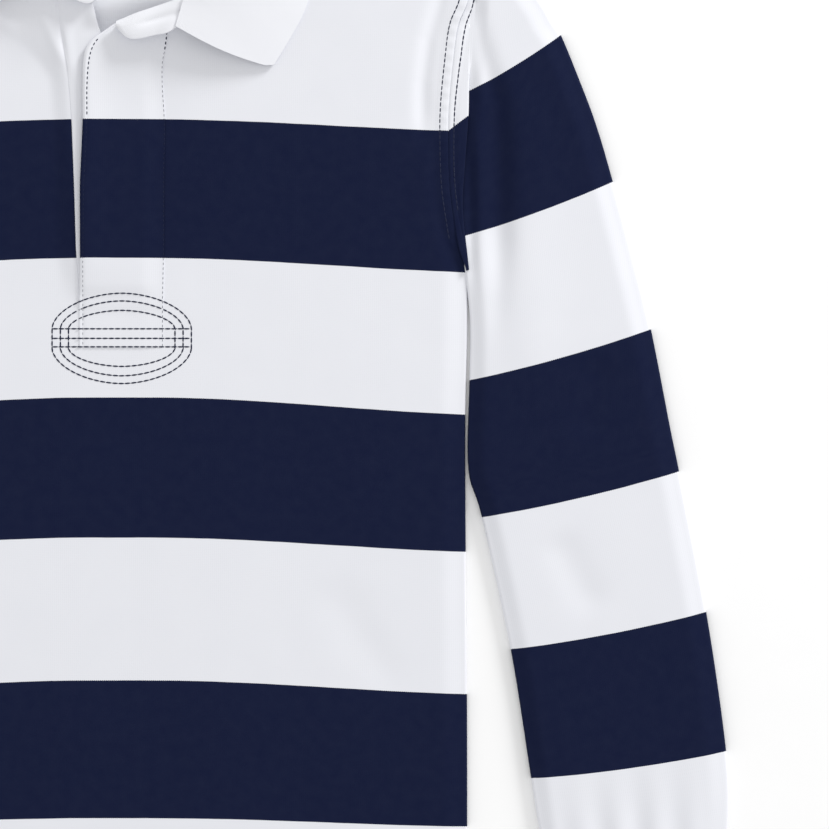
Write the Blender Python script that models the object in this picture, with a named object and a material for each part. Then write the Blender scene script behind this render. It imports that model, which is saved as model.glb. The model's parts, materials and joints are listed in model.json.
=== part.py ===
"""A child's long-sleeved rugby polo shirt, laid flat on its back on a table.

Metres. +Z is up from the table, +Y points to the collar, and +X to the wearer's left sleeve.
Places on the shirt are given as a maker would: across from the centre front, and down from
the high shoulder point, where the shoulder seam meets the neck.
"""

from collections import namedtuple
from math import cos, exp, hypot, pi, sin

import bmesh
import bpy
from mathutils import Vector

# Sizes of the cut
CHEST = 0.376  # flat, from side edge to side edge
BODY_LENGTH = 0.580  # high shoulder point to hem
NECK = 0.144  # across the neck at the high shoulder points
NECK_DROP_BACK = 0.015
SHOULDER_DROP = 0.030
PLACKET_WIDTH = 0.0445
PLACKET_BOTTOM = 0.249
PLACKET_LEFT = -0.0215  # the free edge, a little to the wearer's right of the centre
YOKE = 0.1251  # from here down the knit lies level; above, it slopes with the shoulders

# Thicknesses and clearances
CLOTH = 0.0012
COLLAR_CLOTH = 0.0014
SEAM_GAP = 0.0003
LOFT = 0.0017  # how far the front stands off the back in the middle
NECK_LIFT = 0.0020  # the back lies on the collar's fall here
SLEEVE_EDGE = 0.0036  # a flattened sleeve at its folded edges

# The frame's origin lies under the middle of the whole shirt
TOP = 0.28182

# Places along the body's edge: the armhole from the shoulder point to the armpit, then the side
Edge = namedtuple("Edge", "across down")
BODY_EDGE = (
    Edge(0.1907, 0.0300),
    Edge(0.1885, 0.0598),
    Edge(0.1831, 0.0740),
    Edge(0.1803, 0.0936),
    Edge(0.1780, 0.1180),
    Edge(0.1777, 0.1400),
    Edge(0.1786, 0.1620),
    Edge(0.1812, 0.1810),
    Edge(0.1840, 0.1958),
    Edge(CHEST / 2, 0.2089),
    Edge(CHEST / 2 - 0.0010, 0.3000),
    Edge(CHEST / 2, 0.4500),
    Edge(CHEST / 2, BODY_LENGTH),
)
ARMPIT = BODY_EDGE[9]

# The front neck and the slash under the placket, on the wearer's left and right
FRONT_NECK = {
    "left": (
        Edge(0.0720, 0.0000),
        Edge(0.0690, 0.0220),
        Edge(0.0600, 0.0450),
        Edge(0.0430, 0.0660),
        Edge(0.0270, 0.0755),
        Edge(0.0180, 0.0800),
        Edge(0.0180, 0.1250),
        Edge(0.0180, PLACKET_BOTTOM),
    ),
    "right": (
        Edge(-0.0720, 0.0000),
        Edge(-0.0690, 0.0180),
        Edge(-0.0620, 0.0350),
        Edge(-0.0500, 0.0550),
        Edge(-0.0360, 0.0720),
        Edge(-0.0280, 0.0880),
        Edge(-0.0255, 0.1250),
        Edge(-0.0222, PLACKET_BOTTOM),
    ),
}

# Soft ridges and troughs: height is up where positive, and each fades out at both ends
Fold = namedtuple("Fold", "piece width height path")
FOLDS = (
    Fold("front", 0.0045, -0.0009, ((0.1754, 0.045), (0.1670, 0.082), (0.1655, 0.135))),
    Fold("front", 0.0045, -0.0009, ((-0.1754, 0.045), (-0.1670, 0.082), (-0.1655, 0.135))),
    Fold("front", 0.0120, -0.0006, ((0.1107, 0.370), (0.1243, 0.397), (0.1515, 0.440))),
    Fold("front", 0.0140, -0.0006, ((-0.1020, 0.300), (-0.1243, 0.340), (-0.1600, 0.400))),
    Fold("front", 0.0040, 0.0020, ((-0.0420, 0.072), (-0.0290, 0.098))),
    Fold("front", 0.0045, 0.0016, ((-0.0720, 0.062), (-0.0530, 0.080))),
    Fold("front", 0.0045, -0.0010, ((-0.0720, 0.072), (-0.0560, 0.086))),
    Fold("under", 0.0040, 0.0010, ((-0.0300, 0.066), (-0.0262, 0.100))),
    Fold("over", 0.0090, 0.0016, ((-0.0170, 0.060), (-0.0200, 0.110))),
    Fold("sleeve", 0.0060, -0.0016, ((0.2000, 0.070), (0.2095, 0.115), (0.2140, 0.190))),
    Fold("sleeve", 0.0100, -0.0008, ((0.2620, 0.250), (0.2500, 0.300))),
    Fold("sleeve", 0.0100, -0.0009, ((0.2330, 0.345), (0.2600, 0.395))),
)

# The sleeve's rows, from its crown to the cuff seam. Seam is the armhole seam, or the inner
# edge below the armpit; fold is where the sleeve turns over itself; outer is the far edge.
Row = namedtuple(
    "Row", "at seam_x seam_down fold_x fold_down outer_x outer_down height tuck"
)
SLEEVE_ROWS = (
    Row(0.0, 0.1909, 0.0305, 0.1913, 0.0302, 0.1925, 0.0294, 0.0046, 0.0),
    Row(1.0, 0.1896, 0.0446, 0.1918, 0.0440, 0.2048, 0.0345, 0.0050, 0.0),
    Row(2.0, 0.1880, 0.0615, 0.1915, 0.0600, 0.2179, 0.0475, 0.0052, 0.2),
    Row(3.0, 0.1826, 0.0805, 0.1900, 0.0790, 0.2293, 0.0631, 0.0054, 0.5),
    Row(4.0, 0.1787, 0.1077, 0.1890, 0.0950, 0.2342, 0.0718, 0.0056, 0.8),
    Row(5.0, 0.1777, 0.1322, 0.1882, 0.1130, 0.2391, 0.0794, 0.0058, 1.0),
    Row(6.0, 0.1786, 0.1578, 0.1868, 0.1390, 0.2483, 0.1017, 0.0060, 1.0),
    Row(7.0, 0.1812, 0.1800, 0.1852, 0.1650, 0.2581, 0.1278, 0.0060, 1.0),
    Row(8.0, 0.1880, 0.2089, 0.1868, 0.1960, 0.2674, 0.1594, 0.0060, 1.0),
    Row(9.0, 0.1888, 0.2380, 0.1888, 0.2320, 0.2782, 0.1994, 0.0060, 0.0),
    Row(10.0, 0.1886, 0.2671, 0.1886, 0.2671, 0.2880, 0.2394, 0.0060, 0.0),
    Row(11.0, 0.1880, 0.3144, 0.1880, 0.3144, 0.2984, 0.2927, 0.0058, 0.0),
    Row(12.0, 0.1961, 0.3416, 0.1961, 0.3416, 0.3033, 0.3166, 0.0056, 0.0),
    Row(13.0, 0.2117, 0.4131, 0.2117, 0.4131, 0.3180, 0.3928, 0.0056, 0.0),
    Row(14.0, 0.2228, 0.4831, 0.2228, 0.4831, 0.3288, 0.4684, 0.0056, 0.0),
    Row(15.0, 0.2274, 0.5108, 0.2274, 0.5108, 0.3299, 0.5070, 0.0054, 0.0),
    Row(16.0, 0.2325, 0.5270, 0.2325, 0.5270, 0.3262, 0.5230, 0.0052, 0.0),
    Row(17.0, 0.2418, 0.5407, 0.2418, 0.5407, 0.3158, 0.5364, 0.0046, 0.0),
)
ARMPIT_ROW = 8
SLEEVE_SAG = 0.0018  # how far a stripe hangs below a straight line across the sleeve
CUFF_END = Row(18.0, 0.2470, 0.5925, 0.2470, 0.5925, 0.3165, 0.5885, 0.0046, 0.0)
GATHERS = 5
GATHER_HEIGHT = 0.0009
RIBS = 22
RIB_HEIGHT = 0.0005

# The collar round the neck, from the wearer's left front end, behind the neck, to the right.
# The band runs from its seam up to the roll, and the fall from the roll down to its edge.
# Turn says how far the fall is turned under: 0 lies on the front, 1 lies under the back.
Band = namedtuple("Band", "at seam_x seam_down seam_z roll_x roll_down roll_z")
BAND = (
    Band(0.0, -0.0030, 0.0755, 0.0072, -0.0020, 0.0738, 0.0085),
    Band(1.0, 0.0060, 0.0795, 0.0072, 0.0090, 0.0690, 0.0110),
    Band(2.0, 0.0180, 0.0775, 0.0072, 0.0215, 0.0645, 0.0130),
    Band(3.0, 0.0290, 0.0735, 0.0068, 0.0340, 0.0600, 0.0143),
    Band(4.0, 0.0430, 0.0640, 0.0062, 0.0400, 0.0560, 0.0145),
    Band(5.0, 0.0590, 0.0440, 0.0060, 0.0540, 0.0400, 0.0142),
    Band(6.0, 0.0680, 0.0210, 0.0060, 0.0640, 0.0180, 0.0138),
    Band(7.0, 0.0700, -0.0020, 0.0056, 0.0630, -0.0050, 0.0128),
    Band(8.0, 0.0480, 0.0070, 0.0030, 0.0480, -0.0175, 0.0110),
    Band(9.0, 0.0240, 0.0125, 0.0025, 0.0250, -0.0220, 0.0105),
    Band(10.0, 0.0000, 0.0143, 0.0025, 0.0000, -0.0235, 0.0102),
)
Fall = namedtuple("Fall", "at roll_x roll_down roll_z edge_x edge_down edge_z turn")
FALL = (
    Fall(0.0, 0.0350, 0.0600, 0.0170, 0.0296, 0.0750, 0.0105, 0.0),
    Fall(1.0, 0.0400, 0.0560, 0.0162, 0.0830, 0.0963, 0.0063, 0.0),
    Fall(2.0, 0.0480, 0.0490, 0.0162, 0.0925, 0.0800, 0.0062, 0.0),
    Fall(3.0, 0.0555, 0.0395, 0.0160, 0.1005, 0.0640, 0.0061, 0.0),
    Fall(4.0, 0.0620, 0.0270, 0.0156, 0.1070, 0.0400, 0.0060, 0.0),
    Fall(5.0, 0.0655, 0.0120, 0.0152, 0.1095, 0.0185, 0.0060, 0.0),
    Fall(6.0, 0.0645, -0.0010, 0.0146, 0.1070, 0.0035, 0.0040, 0.2),
    Fall(7.0, 0.0600, -0.0090, 0.0138, 0.1010, 0.0000, 0.0012, 0.7),
    Fall(8.0, 0.0540, -0.0145, 0.0130, 0.0880, 0.0080, 0.0010, 1.0),
    Fall(9.0, 0.0420, -0.0195, 0.0122, 0.0700, 0.0270, 0.0010, 1.0),
    Fall(10.0, 0.0250, -0.0228, 0.0118, 0.0450, 0.0400, 0.0010, 1.0),
    Fall(11.0, 0.0000, -0.0240, 0.0116, 0.0000, 0.0430, 0.0010, 1.0),
)
# The wearer's right front end of the collar lies higher, where the neck is pulled open
RIGHT_END_SHIFT_DOWN = -0.0300
RIGHT_END_SHIFT_ACROSS = 0.0200


def smooth(t):
    t = min(max(t, 0.0), 1.0)
    return t * t * (3.0 - 2.0 * t)


def blend(a, b, t):
    return a + (b - a) * t


def curve(table, key, value, where):
    """Reads one column of a table as a smooth curve over another, rising, column."""
    keys = [getattr(row, key) for row in table]
    values = [getattr(row, value) for row in table]
    where = min(max(where, keys[0]), keys[-1])
    i = max(j for j in range(len(keys) - 1) if keys[j] <= where)
    slopes = []
    for j in (i, i + 1):
        low, high = max(j - 1, 0), min(j + 1, len(keys) - 1)
        slopes.append((values[high] - values[low]) / (keys[high] - keys[low]))
    step = keys[i + 1] - keys[i]
    t = (where - keys[i]) / step
    return (
        values[i] * (1 + 2 * t) * (1 - t) ** 2
        + slopes[0] * step * t * (1 - t) ** 2
        + values[i + 1] * t * t * (3 - 2 * t)
        + slopes[1] * step * t * t * (t - 1)
    )


def straight(table, key, value, where):
    """The same column read as straight lines, which keep a corner sharp."""
    for a, b in zip(table, table[1:]):
        if where <= getattr(b, key):
            t = (where - getattr(a, key)) / (getattr(b, key) - getattr(a, key))
            return blend(getattr(a, value), getattr(b, value), max(t, 0.0))
    return getattr(table[-1], value)


def fold_height(piece, across, down):
    """What the folds of a piece add to its height at a place."""
    total = 0.0
    for fold in FOLDS:
        if fold.piece != piece:
            continue
        runs = list(zip(fold.path, fold.path[1:]))
        lengths = [hypot(b[0] - a[0], b[1] - a[1]) for a, b in runs]
        nearest, along, passed = 1.0, 0.0, 0.0
        for (a, b), length in zip(runs, lengths):
            t = ((across - a[0]) * (b[0] - a[0]) + (down - a[1]) * (b[1] - a[1])) / length**2
            t = min(max(t, 0.0), 1.0)
            off = hypot(across - blend(a[0], b[0], t), down - blend(a[1], b[1], t))
            if off < nearest:
                nearest, along = off, passed + t * length
            passed += length
        fade = smooth(along / passed * 3.5) * smooth((passed - along) / passed * 3.5)
        total += fold.height * exp(-((nearest / fold.width) ** 2)) * fade
    return total


def shoulder_down(across):
    """How far down the shoulder seam is at a place across."""
    slope = SHOULDER_DROP / (BODY_EDGE[0].across - NECK / 2)
    return max(0.0, abs(across) - NECK / 2) * slope


def down_at(across, level, start):
    """Rows follow the top edge at level 0, and lie straight from the yoke line down."""
    return level + start * max(0.0, 1.0 - level / YOKE)


def level_of(across, down):
    start = shoulder_down(across)
    return down if down >= YOKE else (down - start) / (1.0 - start / YOKE)


def levels_of(edges):
    """The same edge, with each point's level in place of its distance down."""
    return [Edge(abs(e.across), level_of(e.across, e.down)) for e in edges]


EDGE_LEVELS = levels_of(BODY_EDGE)
NECK_LEVELS = {side: levels_of(edges) for side, edges in FRONT_NECK.items()}


def edge_at(level):
    return curve(EDGE_LEVELS, "down", "across", level)


def neck_at(side, level):
    edges = NECK_LEVELS[side]
    read = straight if level > edges[5].down else curve
    return read(edges, "down", "across", level)


def back_lift(across, down):
    """The back panel rises over the collar's fall, which lies under it."""
    past_side = smooth((abs(across) - 0.095) / 0.045)
    past_edge = smooth((down - 0.046) / 0.040)
    return NECK_LIFT * (1.0 - past_side) * (1.0 - past_edge)


def back_top(across, down):
    return back_lift(across, down) + CLOTH


def front_top(across, down):
    """Height of the front's outer side: low at the seams and hem, higher between them."""
    level = level_of(across, down)
    from_side = (edge_at(level) - abs(across)) / 0.014
    open_side = 1.0 - smooth((down - 0.175) / 0.034)  # stays up along the armhole
    rise = max(smooth(from_side), 0.7 * open_side)
    rise *= smooth((level + 0.004) / 0.030) * smooth((BODY_LENGTH + 0.006 - down) / 0.016)
    room = 1.0 - 0.75 * back_lift(across, down) / NECK_LIFT
    loft = LOFT * rise * room + fold_height("front", across, down) * smooth(rise)
    return back_top(across, down) + SEAM_GAP + CLOTH + max(loft, 0.0)


def place(across, down, up):
    return Vector((across, TOP - down, up))


def material(name, colour, roughness):
    made = bpy.data.materials.new(name)
    made.use_nodes = True
    shader = made.node_tree.nodes["Principled BSDF"]
    shader.inputs["Base Color"].default_value = (*colour, 1.0)
    shader.inputs["Roughness"].default_value = roughness
    shader.inputs["Metallic"].default_value = 0.0
    return made


WHITE = material("white_jersey", (0.80, 0.81, 0.85), 0.9)
NAVY = material("navy_jersey", (0.012, 0.016, 0.045), 0.85)
TWILL = material("white_twill", (0.83, 0.84, 0.87), 0.85)
RIB = material("white_rib", (0.78, 0.79, 0.83), 0.92)


def walled(name, outer, inner, cells, finish):
    """One closed wall: a sheet of cells, extruded from its outer points to its inner ones."""
    bm = bmesh.new()
    number = bm.verts.layers.int.new("number")
    verts = [bm.verts.new(point) for point in outer]
    for i, vert in enumerate(verts):
        vert[number] = i
    for cell in cells:
        bm.faces.new([verts[i] for i in cell])
    bmesh.ops.delete(bm, geom=[v for v in bm.verts if not v.link_faces], context="VERTS")
    grown = bmesh.ops.extrude_face_region(bm, geom=bm.faces[:], use_keep_orig=True)
    for part in grown["geom"]:
        if isinstance(part, bmesh.types.BMVert):
            part.co = inner[part[number]]
    bmesh.ops.recalc_face_normals(bm, faces=bm.faces[:])
    mesh = bpy.data.meshes.new(name)
    bm.to_mesh(mesh)
    bm.free()
    mesh.shade_smooth()
    mesh.set_sharp_from_angle(angle=0.9)
    mesh.materials.append(finish)
    made = bpy.data.objects.new(name, mesh)
    bpy.context.collection.objects.link(made)
    return made


def spread(low, high, count):
    return [blend(low, high, i / count) for i in range(count + 1)]


def cells_between(rows, columns, keep=lambda row, column: True):
    width = columns + 1
    return [
        (r * width + c, r * width + c + 1, (r + 1) * width + c + 1, (r + 1) * width + c)
        for r in range(rows)
        for c in range(columns)
        if keep(r, c)
    ]


LEVELS = (
    spread(0.0, YOKE, 12)
    + spread(YOKE, ARMPIT.down, 8)[1:]
    + spread(ARMPIT.down, PLACKET_BOTTOM, 3)[1:]
    + spread(PLACKET_BOTTOM, BODY_LENGTH - 0.012, 12)[1:]
    + [BODY_LENGTH]
)


def make_back():
    """A panel whose top row follows the shoulder seams and the shallow back neck."""
    columns = 34
    outer, inner = [], []
    for level in LEVELS:
        for c in range(columns + 1):
            across = edge_at(level) * (2.0 * c / columns - 1.0)
            share = min(abs(across) / (NECK / 2), 1.0)
            neck = NECK_DROP_BACK * (1.0 - share**2) ** 0.6
            down = down_at(across, level, max(shoulder_down(across), neck))
            top = back_top(across, down)
            outer.append(place(across, down, top))
            inner.append(place(across, down, top - CLOTH))
    cells = cells_between(len(LEVELS) - 1, columns)
    return walled("back", outer, inner, cells, WHITE)


SIDE_COLUMNS, SLASH_COLUMNS = 14, 4


def make_front():
    """A left and a right side, joined by a middle that starts at the placket's lower end."""
    columns = 2 * SIDE_COLUMNS + SLASH_COLUMNS
    near_edge = [1.0 - (1.0 - i / SIDE_COLUMNS) ** 1.5 for i in range(SIDE_COLUMNS + 1)]
    outer, inner = [], []
    for level in LEVELS:
        edge = edge_at(level)
        left, right = neck_at("left", level), neck_at("right", level)
        line = [-blend(right, edge, s) for s in reversed(near_edge)]
        line += spread(-right, left, SLASH_COLUMNS)[1:-1]
        line += [blend(left, edge, s) for s in near_edge]
        for across in line:
            down = down_at(across, level, shoulder_down(across))
            top = front_top(across, down)
            outer.append(place(across, down, top))
            inner.append(place(across, down, top - CLOTH))
    middle = range(SIDE_COLUMNS, SIDE_COLUMNS + SLASH_COLUMNS)

    def keep(row, column):
        return column not in middle or LEVELS[row] >= PLACKET_BOTTOM - 1e-6

    return walled("front", outer, inner, cells_between(len(LEVELS) - 1, columns, keep), WHITE)


# The placket's strips, row by row: how far down, and where their two edges run
Strip = namedtuple("Strip", "down low_x high_x")
OVER = (
    Strip(0.0735, -0.0140, 0.0235),
    Strip(0.0800, -0.0165, 0.0230),
    Strip(0.0900, -0.0190, 0.0226),
    Strip(0.1050, -0.0210, 0.0226),
    Strip(0.1250, PLACKET_LEFT, 0.0226),
    Strip(PLACKET_BOTTOM, PLACKET_LEFT, PLACKET_LEFT + PLACKET_WIDTH - 0.0013),
)
UNDER = (
    Strip(0.0460, -0.0556, -0.0240),
    Strip(0.0570, -0.0485, -0.0215),
    Strip(0.0700, -0.0370, -0.0175),
    Strip(0.0850, -0.0290, -0.0110),
    Strip(0.1000, -0.0270, -0.0020),
    Strip(0.1250, -0.0255, 0.0120),
    Strip(0.1600, -0.0243, 0.0150),
    Strip(PLACKET_BOTTOM - 0.0004, -0.0222, 0.0150),
)


def make_strip(name, strips, rows, top_at, finish):
    """A strip of cloth that lies on, or level with, the front."""
    columns = 6
    outer, inner = [], []
    for down in spread(strips[0].down, strips[-1].down, rows):
        low = curve(strips, "down", "low_x", down)
        if name == "placket_under":
            low = 2 * SEAM_GAP - neck_at("right", level_of(low, down))
        high = curve(strips, "down", "high_x", down)
        for across in spread(low, high, columns):
            top = top_at(across, down)
            outer.append(place(across, down, top))
            inner.append(place(across, down, top - CLOTH))
    return walled(name, outer, inner, cells_between(rows, columns), finish)


def over_top(across, down):
    lift = fold_height("over", across, down)
    return front_top(across, down) + SEAM_GAP + CLOTH + lift


def under_top(across, down):
    lowest = back_top(across, down) + SEAM_GAP + CLOTH
    level = front_top(across, down) + fold_height("under", across, down)
    return max(level, lowest)


def offset_in(section, thickness, closed):
    """The inner side of a section drawn as (run, up) points, by their averaged normals."""
    count = len(section)
    inner = []
    for i, (run, up) in enumerate(section):
        before = section[(i - 1) % count] if closed or i else section[0]
        after = section[(i + 1) % count] if closed or i < count - 1 else section[-1]
        d_run, d_up = after[0] - before[0], after[1] - before[1]
        length = hypot(d_run, d_up)
        inner.append((run + d_up / length * thickness, up - d_run / length * thickness))
    return inner


MAIN_COLUMNS, UNDER_COLUMNS = 12, 8
SLEEVE_STEPS = 2  # rows of the mesh to each row of the table


def sleeve_row(at):
    names = Row._fields[1:]
    read = {name: curve(SLEEVE_ROWS, "at", name, at) for name in names}
    return Row(at, **read)


def gather(share, at):
    """The sleeve's fullness above the cuff, as soft waves that end below the last stripe."""
    fade = smooth((at - 13.6) / 1.8) * smooth((17.6 - at) / 1.2)
    return GATHER_HEIGHT * fade * sin(2 * pi * GATHERS * share + 0.8) * sin(pi * share)


def sleeve_section(row):
    """The outer points of one row, as (across, down, up), from the armhole seam round."""
    fold = Vector((row.fold_x, row.fold_down))
    seam = Vector((row.seam_x, row.seam_down))
    outer = Vector((row.outer_x, row.outer_down))
    run = outer - fold
    width = run.length
    along = run / width
    middle = SLEEVE_EDGE / 2
    sag = SLEEVE_SAG * smooth(width / 0.06) * smooth((SLEEVE_ROWS[-1].at - row.at) / 1.5)
    seam_up = front_top(ARMPIT.across - 0.016, row.seam_down) if row.at < ARMPIT_ROW else 0.0
    points = []

    def add(base, distance, up, sag=0.0):
        spot = base + along * distance
        points.append((spot.x, spot.y + sag, up))

    if row.at < ARMPIT_ROW:
        # The strip beside the seam, and the valley where the sleeve turns over it
        start = Vector((edge_at(level_of(seam.x, seam.y)) + 2 * SEAM_GAP, seam.y))
        points.append((start.x, start.y, seam_up))
        spot = start.lerp(fold, 0.55)
        points.append((spot.x, spot.y, seam_up + 0.0002))
        add(fold, -0.0006, blend(row.height - 0.0006, seam_up - 0.0002, row.tuck))
        add(fold, 0.0006, blend(row.height - 0.0004, seam_up + 0.0009, row.tuck))
    else:
        # The folded inner edge, from the underarm seam round to the top
        clear = 0.0006 if row.at < 12 else 0.0
        fold = fold + Vector((clear, 0.0))
        add(fold, 0.0050, 0.0)
        add(fold, 0.0012, 0.0003)
        add(fold, 0.0, middle)
        add(fold, 0.0010, SLEEVE_EDGE)
    for c in range(1, MAIN_COLUMNS):
        share = c / MAIN_COLUMNS
        distance = blend(0.0026, width - 0.0026, (c - 1) / (MAIN_COLUMNS - 2))
        from_ends = min(distance, width - distance)
        crown = smooth(from_ends / 0.012) if width > 0.03 else 0.6
        up = blend(SLEEVE_EDGE, row.height, crown)
        spot = fold + along * distance
        up += fold_height("sleeve", spot.x, spot.y) * crown + gather(share, row.at)
        add(fold, distance, up, sag * 4 * share * (1 - share))
    tip = min(0.0012, width * 0.1)
    add(fold, width - tip, SLEEVE_EDGE - 0.0003)
    add(fold, width, middle)
    add(fold, width - tip, 0.0003)
    back_end = 0.0055 if row.at >= ARMPIT_ROW else (seam - fold).dot(along) + 0.0008
    for c in range(UNDER_COLUMNS):
        share = c / (UNDER_COLUMNS - (1 if row.at < ARMPIT_ROW else 0))
        distance = blend(width - 3 * tip, back_end, share)
        add(fold, distance, 0.0, sag * 4 * share * (1 - share))
    if row.at < ARMPIT_ROW:
        points[-1] = (start.x, start.y, 0.0)
    return points


def make_sleeve(side):
    """A flattened tube. Above the armpit it is open along the armhole."""
    mirror = 1.0 if side == "left" else -1.0
    last = SLEEVE_ROWS[-1].at
    rows = spread(0.0, last, int(last) * SLEEVE_STEPS)
    outer, inner, cells = [], [], []
    count = None
    for at in rows:
        row = sleeve_row(at)
        section = sleeve_section(row)
        count = len(section)
        closed = row.at >= ARMPIT_ROW
        runs = [(0.0, section[0][2])]
        for a, b in zip(section, section[1:]):
            going = 1.0 if (b[0] - a[0]) * (row.outer_x - row.fold_x) >= 0 else -1.0
            runs.append((runs[-1][0] + going * hypot(b[0] - a[0], b[1] - a[1]), b[2]))
        for point, before, after in zip(section, runs, offset_in(runs, CLOTH, closed)):
            along = Vector((row.outer_x - row.fold_x, row.outer_down - row.fold_down))
            along.normalize()
            moved = along * (after[0] - before[0])
            outer.append(place(mirror * point[0], point[1], point[2]))
            inner.append(
                place(mirror * (point[0] + moved.x), point[1] + moved.y, max(after[1], 0.0))
            )
    for r, at in enumerate(rows[:-1]):
        for c in range(count - 1):
            cells.append(
                (r * count + c, r * count + c + 1, (r + 1) * count + c + 1, (r + 1) * count + c)
            )
        if at >= ARMPIT_ROW:
            a, b = r * count + count - 1, r * count
            cells.append((a, b, b + count, a + count))
    return walled(f"sleeve_{side}", outer, inner, cells, NAVY)


def make_cuff(side):
    """A ribbed tube, flattened like the sleeve that it is sewn to."""
    mirror = 1.0 if side == "left" else -1.0
    start, end = SLEEVE_ROWS[-1], CUFF_END
    rows = 5
    outer, inner, cells = [], [], []
    steps = RIBS * 2
    for r in range(rows + 1):
        share = r / rows
        low = Vector((start.seam_x, start.seam_down)).lerp(
            Vector((end.seam_x, end.seam_down)), share
        )
        high = Vector((start.outer_x, start.outer_down)).lerp(
            Vector((end.outer_x, end.outer_down)), share
        )
        along = (high - low).normalized()
        down = Vector((-along.y, along.x))
        shift = down * (0.0005 if r == 0 else 0.0)
        pinch = 0.0015 * sin(pi * share)
        low, high = low + along * pinch + shift, high - along * pinch + shift
        half = (high - low).length / 2
        middle = (low + high) / 2
        tall = 0.0046 / 2
        for c in range(2 * steps):
            turn = pi * (c + 0.5) / steps
            reach = cos(turn)
            across = -half * (abs(reach) ** 0.75) * (1 if reach > 0 else -1)
            up = tall * min(1.0, sin(turn) * 3.5) if c < steps else -tall
            if c >= steps:
                up = -tall * min(1.0, -sin(turn) * 3.5)
            rib = RIB_HEIGHT if c % 2 and c < steps and abs(across) < half - 0.003 else 0.0
            spot = middle + along * across
            outer.append(place(mirror * spot.x, spot.y, tall + up + rib))
            inside = middle + along * across * (1 - CLOTH / half)
            inner.append(place(mirror * inside.x, inside.y, tall + up * (1 - CLOTH / tall)))
    count = 2 * steps
    for r in range(rows):
        for c in range(count):
            a, b = r * count + c, r * count + (c + 1) % count
            cells.append((a, b, b + count, a + count))
    return walled(f"cuff_{side}", outer, inner, cells, RIB)


def both_ways(table, steps):
    """Goes along a collar table to the centre back and on round the other side."""
    last = table[-1].at
    ways = [(at, 1.0) for at in spread(0.0, last, int(last) * steps)]
    return ways + [(at, -1.0) for at, _ in reversed(ways[:-1])]


def right_shift(roll_down, mirror):
    """Moves the wearer's right front end of the collar up and out."""
    if mirror > 0:
        return 0.0, 0.0
    share = smooth((roll_down + 0.010) / 0.070)
    return RIGHT_END_SHIFT_ACROSS * share, RIGHT_END_SHIFT_DOWN * share


def thickened(grid, columns, thickness):
    """Outer and inner points of a wall round a grid of middle points."""
    rows = len(grid) // (columns + 1)
    outer, inner = [], []
    for r in range(rows):
        for c in range(columns + 1):
            def at(row, column):
                return grid[
                    min(max(row, 0), rows - 1) * (columns + 1) + min(max(column, 0), columns)
                ]

            out = (at(r, c + 1) - at(r, c - 1)).cross(at(r + 1, c) - at(r - 1, c))
            out.normalize()
            outer.append(at(r, c) + out * thickness / 2)
            inner.append(at(r, c) - out * thickness / 2)
    return outer, inner


def make_band():
    columns = 4
    grid = []
    for at, mirror in both_ways(BAND, 2):
        row = Band(at, *[curve(BAND, "at", name, at) for name in Band._fields[1:]])
        across, down = right_shift(row.roll_down, mirror)
        for c in range(columns + 1):
            share = c / columns
            bow = 0.0010 * sin(pi * share)
            grid.append(
                place(
                    mirror * (blend(row.seam_x, row.roll_x, share) + across),
                    blend(row.seam_down, row.roll_down, share) + down,
                    blend(row.seam_z, row.roll_z, share) + bow,
                )
            )
    outer, inner = thickened(grid, columns, COLLAR_CLOTH)
    rows = len(grid) // (columns + 1) - 1
    return walled("collar_stand", outer, inner, cells_between(rows, columns), TWILL)


def fall_section(row):
    """One line across the fall, from the roll to its edge, as (across, down, up)."""
    points = []
    roll = Vector((row.roll_x, row.roll_down))
    edge = Vector((row.edge_x, row.edge_down))
    away = (roll - Vector((0.0, 0.030))).normalized()
    for share in (0.0, 0.04, 0.09, 0.16, 0.25, 0.36, 0.5, 0.65, 0.82, 1.0):
        on_front = blend(row.edge_z, row.roll_z, (1.0 - smooth(share)) ** 1.15)
        under = blend(row.edge_z, row.roll_z, (1.0 - smooth(share / 0.25)) ** 1.3)
        out = 0.0075 * smooth(share / 0.12) * (1.0 - share) ** 1.5 * row.turn
        out += (roll - edge).length * 0.20 * row.turn * sin(pi * min(share / 0.36, 1.0)) * 0.5
        spot = roll.lerp(edge, share) + away * out
        points.append((spot.x, spot.y, blend(on_front, under, row.turn)))
    return points


def make_fall():
    grid = []
    columns = 9
    for at, mirror in both_ways(FALL, 3):
        names = Fall._fields[1:]
        if at < 1.0:
            row = Fall(at, *[straight(FALL, "at", name, at) for name in names])
        else:
            row = Fall(at, *[curve(FALL[1:], "at", name, at) for name in names])
        across, down = right_shift(row.roll_down, mirror)
        for x, d, z in fall_section(row):
            grid.append(place(mirror * (x + across), d + down, z))
    outer, inner = thickened(grid, columns, COLLAR_CLOTH)
    rows = len(grid) // (columns + 1) - 1
    return walled("collar", outer, inner, cells_between(rows, columns), TWILL)


def main():
    for old in list(bpy.data.objects):
        bpy.data.objects.remove(old, do_unlink=True)
    make_back()
    make_front()
    make_strip("placket_over", OVER, 16, over_top, WHITE)
    make_strip("placket_under", UNDER, 16, under_top, WHITE)
    for side in ("left", "right"):
        make_sleeve(side)
        make_cuff(side)
    make_band()
    make_fall()


main()
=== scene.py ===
# %% [markdown]
# # A child's striped rugby polo shirt
#
# The shirt lies flat on its back on a pale floor, and the camera looks straight down on the
# wearer's left half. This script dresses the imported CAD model. Each plain solid is replaced by
# a thin sheet of cloth with folds, seams, stitches and stripes. Places are given as on a paper
# pattern, in metres: across from the centre front, and down from the high shoulder point, where
# the shoulder seam meets the neck.

# %% Load the frame
import json
from collections import namedtuple
from functools import lru_cache
from math import cos, exp, hypot, pi, sin

import bpy
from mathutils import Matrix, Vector, noise

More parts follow.
